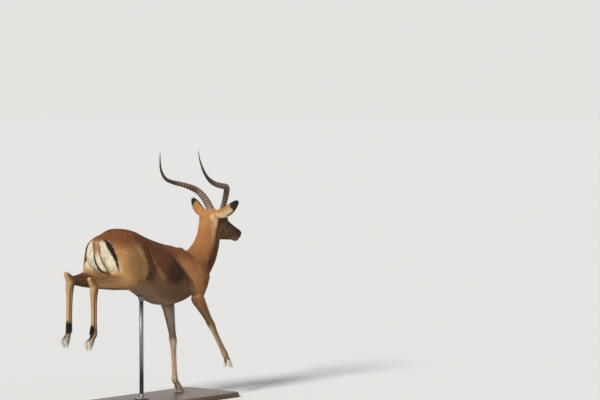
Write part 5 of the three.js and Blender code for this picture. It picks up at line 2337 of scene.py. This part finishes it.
@dataclass
class Graph:
    """A material's nodes, with its one surface shader."""

    name: str
    material: Material = field(init=False)
    shader: bpy.types.Node = field(init=False)

    def __post_init__(self) -> None:
        self.material = bpy.data.materials.new(self.name)
        self.material.use_nodes = True
        self.material.node_tree.nodes.clear()
        self.shader = self.node("ShaderNodeBsdfPrincipled", {}, {})
        self.node("ShaderNodeOutputMaterial", {}, {"Surface": self.shader.outputs["BSDF"]})

    def node(self, kind: str, settings: dict, inputs: dict) -> bpy.types.Node:
        """Adds a node.

        Args:
            kind: The node's type.
            settings: Its own settings, such as an operation.
            inputs: Numbers, colours, values or sockets for its inputs, by name or index.

        Returns:
            The node.
        """
        node = self.material.node_tree.nodes.new(kind)
        for key, value in settings.items():
            setattr(node, key, value)
        for key, value in inputs.items():
            self.feed(node.inputs[key], value)
        return node

    def feed(self, socket: Socket, value: object) -> None:
        """Links a value or a socket to an input, or sets the input's own number or colour."""
        source = value.source if isinstance(value, Value) else value
        if isinstance(source, Socket):
            self.material.node_tree.links.new(source, socket)
        elif isinstance(source, (tuple, list)) and len(source) == 3 and socket.type == "RGBA":
            socket.default_value = (*source, 1)
        else:
            socket.default_value = source

    def value(self, kind: str, settings: dict, inputs: dict, output: str | int = 0) -> Value:
        """Adds a node and wraps one of its outputs."""
        return Value(self, self.node(kind, settings, inputs).outputs[output])

    def place(self) -> Value:
        """The place on the object, in metres."""
        return self.value("ShaderNodeTexCoord", {}, {}, "Object")

    def stretched(self, scale: Triple) -> Value:
        """The place on the object, scaled along each axis."""
        inputs = {"Vector": self.place(), "Scale": scale}
        return self.value("ShaderNodeMapping", {"vector_type": "POINT"}, inputs)

    def noise(self, vector: Value, scale: float, detail: float = 3, roughness: float = 0.5) -> Value:
        """Soft noise from 0 to 1."""
        inputs = {"Vector": vector, "Scale": scale, "Detail": detail, "Roughness": roughness}
        return self.value("ShaderNodeTexNoise", {}, inputs, 0)

    def speck(self, scale: float, detail: float = 3, roughness: float = 0.6) -> Value:
        """Soft noise over the place on the object."""
        return self.noise(self.place(), scale, detail, roughness)

    def stored(self, name: str, output: str = "Fac") -> Value:
        """A number or colour that is stored on the mesh."""
        return self.value("ShaderNodeAttribute", {"attribute_name": name}, {}, output)

    def shaded(self, name: str, shade: Value) -> Value:
        """A colour that is stored on the mesh, times a shade of grey."""
        grey = self.value("ShaderNodeCombineColor", {}, {0: shade, 1: shade, 2: shade})
        return self.mix(1.0, self.stored(name, "Color"), grey, "MULTIPLY")

    def mix(self, share: Value | float, a: object, b: object, way: str = "MIX") -> Value:
        """Mixes two colours."""
        settings = {"data_type": "RGBA", "blend_type": way}
        node = self.node("ShaderNodeMix", settings, {0: share})
        self.feed(node.inputs[6], a)
        self.feed(node.inputs[7], b)
        return Value(self, node.outputs[2])

    def bump(self, height: Value, strength: float, depth: float) -> Value:
        """A normal from a height in units of `depth` metres."""
        inputs = {"Height": height, "Strength": strength, "Distance": depth}
        return self.value("ShaderNodeBump", {}, inputs, "Normal")

    def dress(self, **inputs: object) -> Material:
        """Feeds the shader; an underscore in a name stands for a space."""
        for name, value in inputs.items():
            self.feed(self.shader.inputs[name.replace("_", " ")], value)
        return self.material


@dataclass(frozen=True)
class PeltFinish:
    """Short hair on skin: the stored markings, grizzled and streaked along the hair."""

    name: str = "pelt"
    roughness: float = 0.62
    streak: float = 900.0

    def material(self) -> Material:
        """Builds the material."""
        graph = Graph(self.name)
        upright = graph.stored("Upright")
        level = graph.noise(graph.stretched((0.16, 1, 1)), self.streak, 3, 0.6)
        fallen = graph.noise(graph.stretched((1, 1, 0.14)), self.streak, 3, 0.6)
        hair = level * (1 - upright) + fallen * upright
        mottle = graph.speck(26, 4)
        shade = hair.step(0.2, 0.8, 0.74, 1.2) * mottle.step(0.25, 0.75, 0.9, 1.08)
        return graph.dress(
            Base_Color=graph.shaded("Pelt", shade),
            Roughness=hair.step(0.2, 0.8, self.roughness + 0.1, self.roughness - 0.08),
            Normal=graph.bump(hair + mottle * 0.3, 0.55, 0.0012),
            Sheen_Weight=0.04,
            Sheen_Roughness=0.5,
            Specular_IOR_Level=0.12,
        )


@dataclass(frozen=True)
class HairFinish:
    """The tufts: the stored markings, darker at the root and lighter to the tip."""

    name: str = "hair"
    roughness: float = 0.58

    def material(self) -> Material:
        """Builds the material."""
        graph = Graph(self.name)
        fine = graph.speck(1400, 2)
        along = graph.stored("Along")
        shade = along.step(0, 1, 0.84, 1.1) * fine.step(0.25, 0.75, 0.9, 1.1)
        return graph.dress(
            Base_Color=graph.shaded("Pelt", shade),
            Roughness=fine.step(0.2, 0.8, self.roughness + 0.06, self.roughness - 0.06),
            Normal=graph.bump(fine, 0.2, 0.0004),
            Sheen_Weight=0.04,
            Sheen_Roughness=0.5,
            Specular_IOR_Level=0.14,
        )


@dataclass(frozen=True)
class HornFinish:
    """Keratin: worn pale on the rings' crests and dusty at the base, dark and smooth at the tip."""

    name: str = "horn"
    valley: Triple = (0.04, 0.025, 0.018)
    crest: Triple = (0.34, 0.215, 0.135)
    tip: Triple = (0.035, 0.02, 0.014)
    base: Triple = (0.33, 0.2, 0.13)

    def material(self) -> Material:
        """Builds the material from the stored share along the horn and height of its rings."""
        graph = Graph(self.name)
        share, ring = graph.stored("Share"), graph.stored("Ring")
        grain = graph.speck(420, 5, 0.65)
        patch = graph.speck(60, 3, 0.5)
        worn = (ring * 1.0 + patch * 0.35 + grain * 0.25 - 0.4).step(0.1, 0.62)
        ringed = graph.mix(worn, self.valley, self.crest)
        low = graph.mix(share.step(0.16, 0.02) * (0.55 + patch * 0.5), ringed, self.base)
        colour = graph.mix(share.step(0.5, 0.66), low, self.tip)
        streaks = graph.mix(grain.step(0.35, 0.7, 0.0, 0.45), colour, (0.012, 0.009, 0.007))
        height = grain * 0.6 + ring * 0.2
        return graph.dress(
            Base_Color=streaks,
            Roughness=(grain * 0.3 + share.step(0.4, 0.9, 0.5, 0.28)),
            Normal=graph.bump(height, 0.6, 0.0008),
            Specular_IOR_Level=0.5,
        )


@dataclass(frozen=True)
class HoofFinish:
    """A claw's wall: dark keratin with growth lines, dusty low down."""

    name: str = "hoof"
    dark: Triple = (0.24, 0.19, 0.15)
    pale: Triple = (0.52, 0.44, 0.35)
    dust: Triple = (0.7, 0.62, 0.5)

    def material(self) -> Material:
        """Builds the material from the stored share down the claw."""
        graph = Graph(self.name)
        share = graph.stored("Share")
        patch = graph.speck(120, 4)
        grain = graph.speck(900)
        lines = graph.noise(share * 9 + patch * 0.8, 1.0, 2, 0.5)
        wall = graph.mix(
            (share * 0.5 + lines * 0.7 + patch * 0.3 - 0.35).step(0.1, 0.9), self.dark, self.pale
        )
        colour = graph.mix((share.step(0.45, 1.0) * patch.step(0.3, 0.7) * 0.75), wall, self.dust)
        return graph.dress(
            Base_Color=colour,
            Roughness=grain.step(0.2, 0.8, 0.42, 0.68),
            Normal=graph.bump(lines + grain * 0.3, 0.5, 0.0007),
            Specular_IOR_Level=0.45,
        )


@dataclass(frozen=True)
class EyeFinish:
    """A wet, dark eye: a brown iris round a level slit of a pupil."""

    name: str = "eye"
    white: Triple = (0.055, 0.03, 0.02)
    iris: Triple = (0.06, 0.024, 0.008)
    pupil: Triple = (0.002, 0.002, 0.003)

    def material(self) -> Material:
        """Builds the material from the stored distance from the pupil and across the iris."""
        graph = Graph(self.name)
        fibres = graph.speck(700)
        iris = graph.mix(fibres.step(0.3, 0.7), self.iris, (0.11, 0.045, 0.014))
        ring = graph.mix(graph.stored("Iris").step(0.82, 1.0), iris, self.white)
        colour = graph.mix(graph.stored("Pupil").step(1.12, 0.92), ring, self.pupil)
        return graph.dress(
            Base_Color=colour,
            Roughness=fibres.step(0, 1, 0.04, 0.09),
            Specular_IOR_Level=0.6,
            Coat_Weight=1.0,
            Coat_Roughness=0.02,
        )


@dataclass(frozen=True)
class WoodFinish:
    """A dark, satin board with straight grain along it."""

    name: str = "board"
    dark: Triple = (0.055, 0.03, 0.018)
    pale: Triple = (0.15, 0.085, 0.048)

    def material(self) -> Material:
        """Builds the material: bent bands across the board, and pores along it."""
        graph = Graph(self.name)
        drift = graph.noise(graph.stretched((1.2, 5, 5)), 1.6, 3, 0.5)
        bands = graph.noise(graph.stretched((0.5, 14, 14)), 5.5, 4, 0.6)
        pores = graph.noise(graph.stretched((5, 320, 320)), 3.5, 2, 0.7)
        grain = (bands * 0.75 + drift * 0.5 - 0.12).step(0.25, 0.85)
        colour = graph.mix(grain, self.dark, self.pale)
        colour = graph.mix(pores.step(0.6, 0.78, 0, 0.6), colour, (0.02, 0.011, 0.007))
        return graph.dress(
            Base_Color=colour,
            Roughness=pores.step(0.3, 0.8, 0.34, 0.52),
            Normal=graph.bump(pores.step(0.55, 0.8, 1, 0), 0.25, 0.0004),
            Specular_IOR_Level=0.45,
        )


@dataclass(frozen=True)
class SteelFinish:
    """Dark drawn steel, brushed round or along."""

    name: str = "steel"
    stretch: Triple = (1, 1, 0.03)
    colour: Triple = (0.16, 0.16, 0.165)

    def material(self) -> Material:
        """Builds the material: fine streaks in colour, gloss and height."""
        graph = Graph(self.name)
        streaks = graph.noise(graph.stretched(self.stretch), 1500, 3, 0.6)
        smudge = graph.speck(18)
        pale = tuple(1.5 * part for part in self.colour)
        return graph.dress(
            Base_Color=graph.mix(streaks, self.colour, pale),
            Roughness=(streaks * 0.14 + smudge * 0.16 + 0.24),
            Normal=graph.bump(streaks, 0.12, 0.0002),
            Metallic=1.0,
        )


@dataclass(frozen=True)
class FloorFinish:
    """The studio's pale floor."""

    name: str = "floor"
    colour: Triple = (0.86, 0.85, 0.83)

    def material(self) -> Material:
        """Builds the material."""
        graph = Graph(self.name)
        speck = graph.speck(9, 3, 0.5)
        dark = tuple(0.97 * part for part in self.colour)
        return graph.dress(
            Base_Color=graph.mix(speck, dark, self.colour), Roughness=0.9, Specular_IOR_Level=0.1
        )


# ---- studio -------------------------------------------------------------------------------------


@dataclass
class Studio:
    """The floor, the lamps and the camera."""

    place: Place
    floor_radius: float = 60.0
    world: float = 0.24
    backdrop: Triple = (0.78, 0.77, 0.75)
    camera_at: Triple = (-12749.2, -11540.0, 2050.3)
    heading: float = 39.19  # degrees from +X to +Y
    dip: float = 3.091  # degrees below level
    lens: float = 180.0
    sensor: float = 36.0

    def floor(self) -> Object:
        """A wide, pale disc."""
        count = 96
        turn = circle(count)
        rim = np.stack([np.cos(turn), np.sin(turn), 0 * turn], 1) * self.floor_radius
        points = np.concatenate([rim, np.zeros((1, 3))])
        faces = np.stack([np.arange(count), (np.arange(count) + 1) % count, np.full(count, count)], 1)
        floor = new_object(new_mesh("floor", points, faces))
        floor.data.materials.append(FloorFinish().material())
        return floor

    def sky(self) -> None:
        """An even surround, which the camera and mirrors see as the colour of the lit floor."""
        world = bpy.data.worlds.new("studio")
        bpy.context.scene.world = world
        world.use_nodes = True
        tree = world.node_tree
        tree.nodes.clear()
        path = tree.nodes.new("ShaderNodeLightPath")
        seen = path.outputs["Is Camera Ray"]
        for other in ("Is Glossy Ray", "Is Transmission Ray"):
            either = tree.nodes.new("ShaderNodeMath")
            either.operation = "MAXIMUM"
            tree.links.new(seen, either.inputs[0])
            tree.links.new(path.outputs[other], either.inputs[1])
            seen = either.outputs[0]
        mix = tree.nodes.new("ShaderNodeMixShader")
        tree.links.new(seen, mix.inputs[0])
        for slot, colour, strength in ((1, (1.0, 1.0, 1.0), self.world), (2, self.backdrop, 1.0)):
            tint = tree.nodes.new("ShaderNodeBackground")
            tint.inputs["Color"].default_value = (*colour, 1)
            tint.inputs["Strength"].default_value = strength
            tree.links.new(tint.outputs[0], mix.inputs[slot])
        out = tree.nodes.new("ShaderNodeOutputWorld")
        tree.links.new(mix.outputs[0], out.inputs["Surface"])

    def lamp(self, name: str, towards: Array, spread: float, level: float) -> None:
        """A wide, far lamp that lights a surface facing it to `level`, with soft shadows."""
        light = bpy.data.lights.new(name, "SUN")
        light.angle = math.radians(spread)
        light.energy = level * math.pi
        lamp = new_object(light)
        out = unit(towards)
        lamp.location = out * 5
        lamp.rotation_euler = _facing(-out)

    def camera(self) -> None:
        """The camera."""
        data = bpy.data.cameras.new("camera")
        data.lens, data.sensor_width = self.lens, self.sensor
        data.clip_end = 500
        camera = new_object(data)
        camera.location = self.place.to_row(vec(*self.camera_at))
        turn, dip = math.radians(self.heading), math.radians(self.dip)
        ahead = vec(math.cos(turn) * math.cos(dip), math.sin(turn) * math.cos(dip), -math.sin(dip))
        camera.rotation_euler = _facing(ahead)
        bpy.context.scene.camera = camera

    def build(self) -> None:
        """Sets everything up."""
        self.floor()
        self.sky()
        self.lamp("key", vec(-0.86, -0.12, 0.56), 14, 1.05)
        self.lamp("fill", vec(-0.4, -0.9, 0.45), 60, 0.07)
        self.lamp("rim", vec(0.5, 0.6, 0.8), 50, 0.12)
        self.camera()
        bpy.context.scene.view_settings.view_transform = "Standard"


def _facing(direction: Array) -> Triple:
    """The turn that points an object's -Z along a direction and keeps it level."""
    x, y, z = unit(direction)
    return (math.acos(-z), 0.0, math.atan2(y, x) - math.pi / 2)


# ---- putting it together --------------------------------------------------------------------------

FLESH_NODES = (
    "trunk", "neck", "head", "tail", "foreleg_left", "foreleg_right", "hindleg_left", "hindleg_right"
)


def dress_skin(skin: Object, place: Place, pelt: Pelt, lie: Lie, finish: Material) -> None:
    """Stores the markings and the lie of the hair on the skin, and gives it its finish."""
    ram, normals = place.to_ram(points_of(skin.data)), normals_of(skin.data)
    set_colour(skin.data, "Pelt", pelt.colours(ram, normals))
    way, _ = lie.at(ram)
    set_value(skin.data, "Upright", smooth(0.3, 0.9, np.abs(way[:, 2])))
    skin.data.materials.append(finish)
    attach(skin, BODY)
    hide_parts(*FLESH_NODES)


def main() -> None:
    """Builds the ram and its stand, piece by piece, and the studio round them."""
    logging.basicConfig(level=logging.INFO, format="%(message)s")
    place, pelt, lie = Place(), Pelt(), Lie()
    Studio(place).build()
    skin = Skin(place).build()
    log.info("skin: %d triangles", len(triangles_of(skin.data)))
    pelt_finish, hair_finish = PeltFinish().material(), HairFinish().material()
    dress_skin(skin, place, pelt, lie, pelt_finish)
    coat = Coat(place, pelt, lie)
    tufts = Tufts.join([coat.grow(skin), coat.long_hair()])
    log.info("coat: %d triangles", coat.dress(tufts, hair_finish))
    dresser = Dresser(place)
    Ears(dresser, pelt.palette).build(pelt_finish, hair_finish)
    Horns(dresser).build(HornFinish().material())
    Eyes(dresser).build(EyeFinish().material())
    cream = HoofFinish("hoof_cream", (0.55, 0.5, 0.38), (0.8, 0.76, 0.62), (0.86, 0.83, 0.7))
    Hooves(dresser).build(HoofFinish().material(), cream.material())
    Stand(dresser).build()


if __name__ == "__main__":
    main()
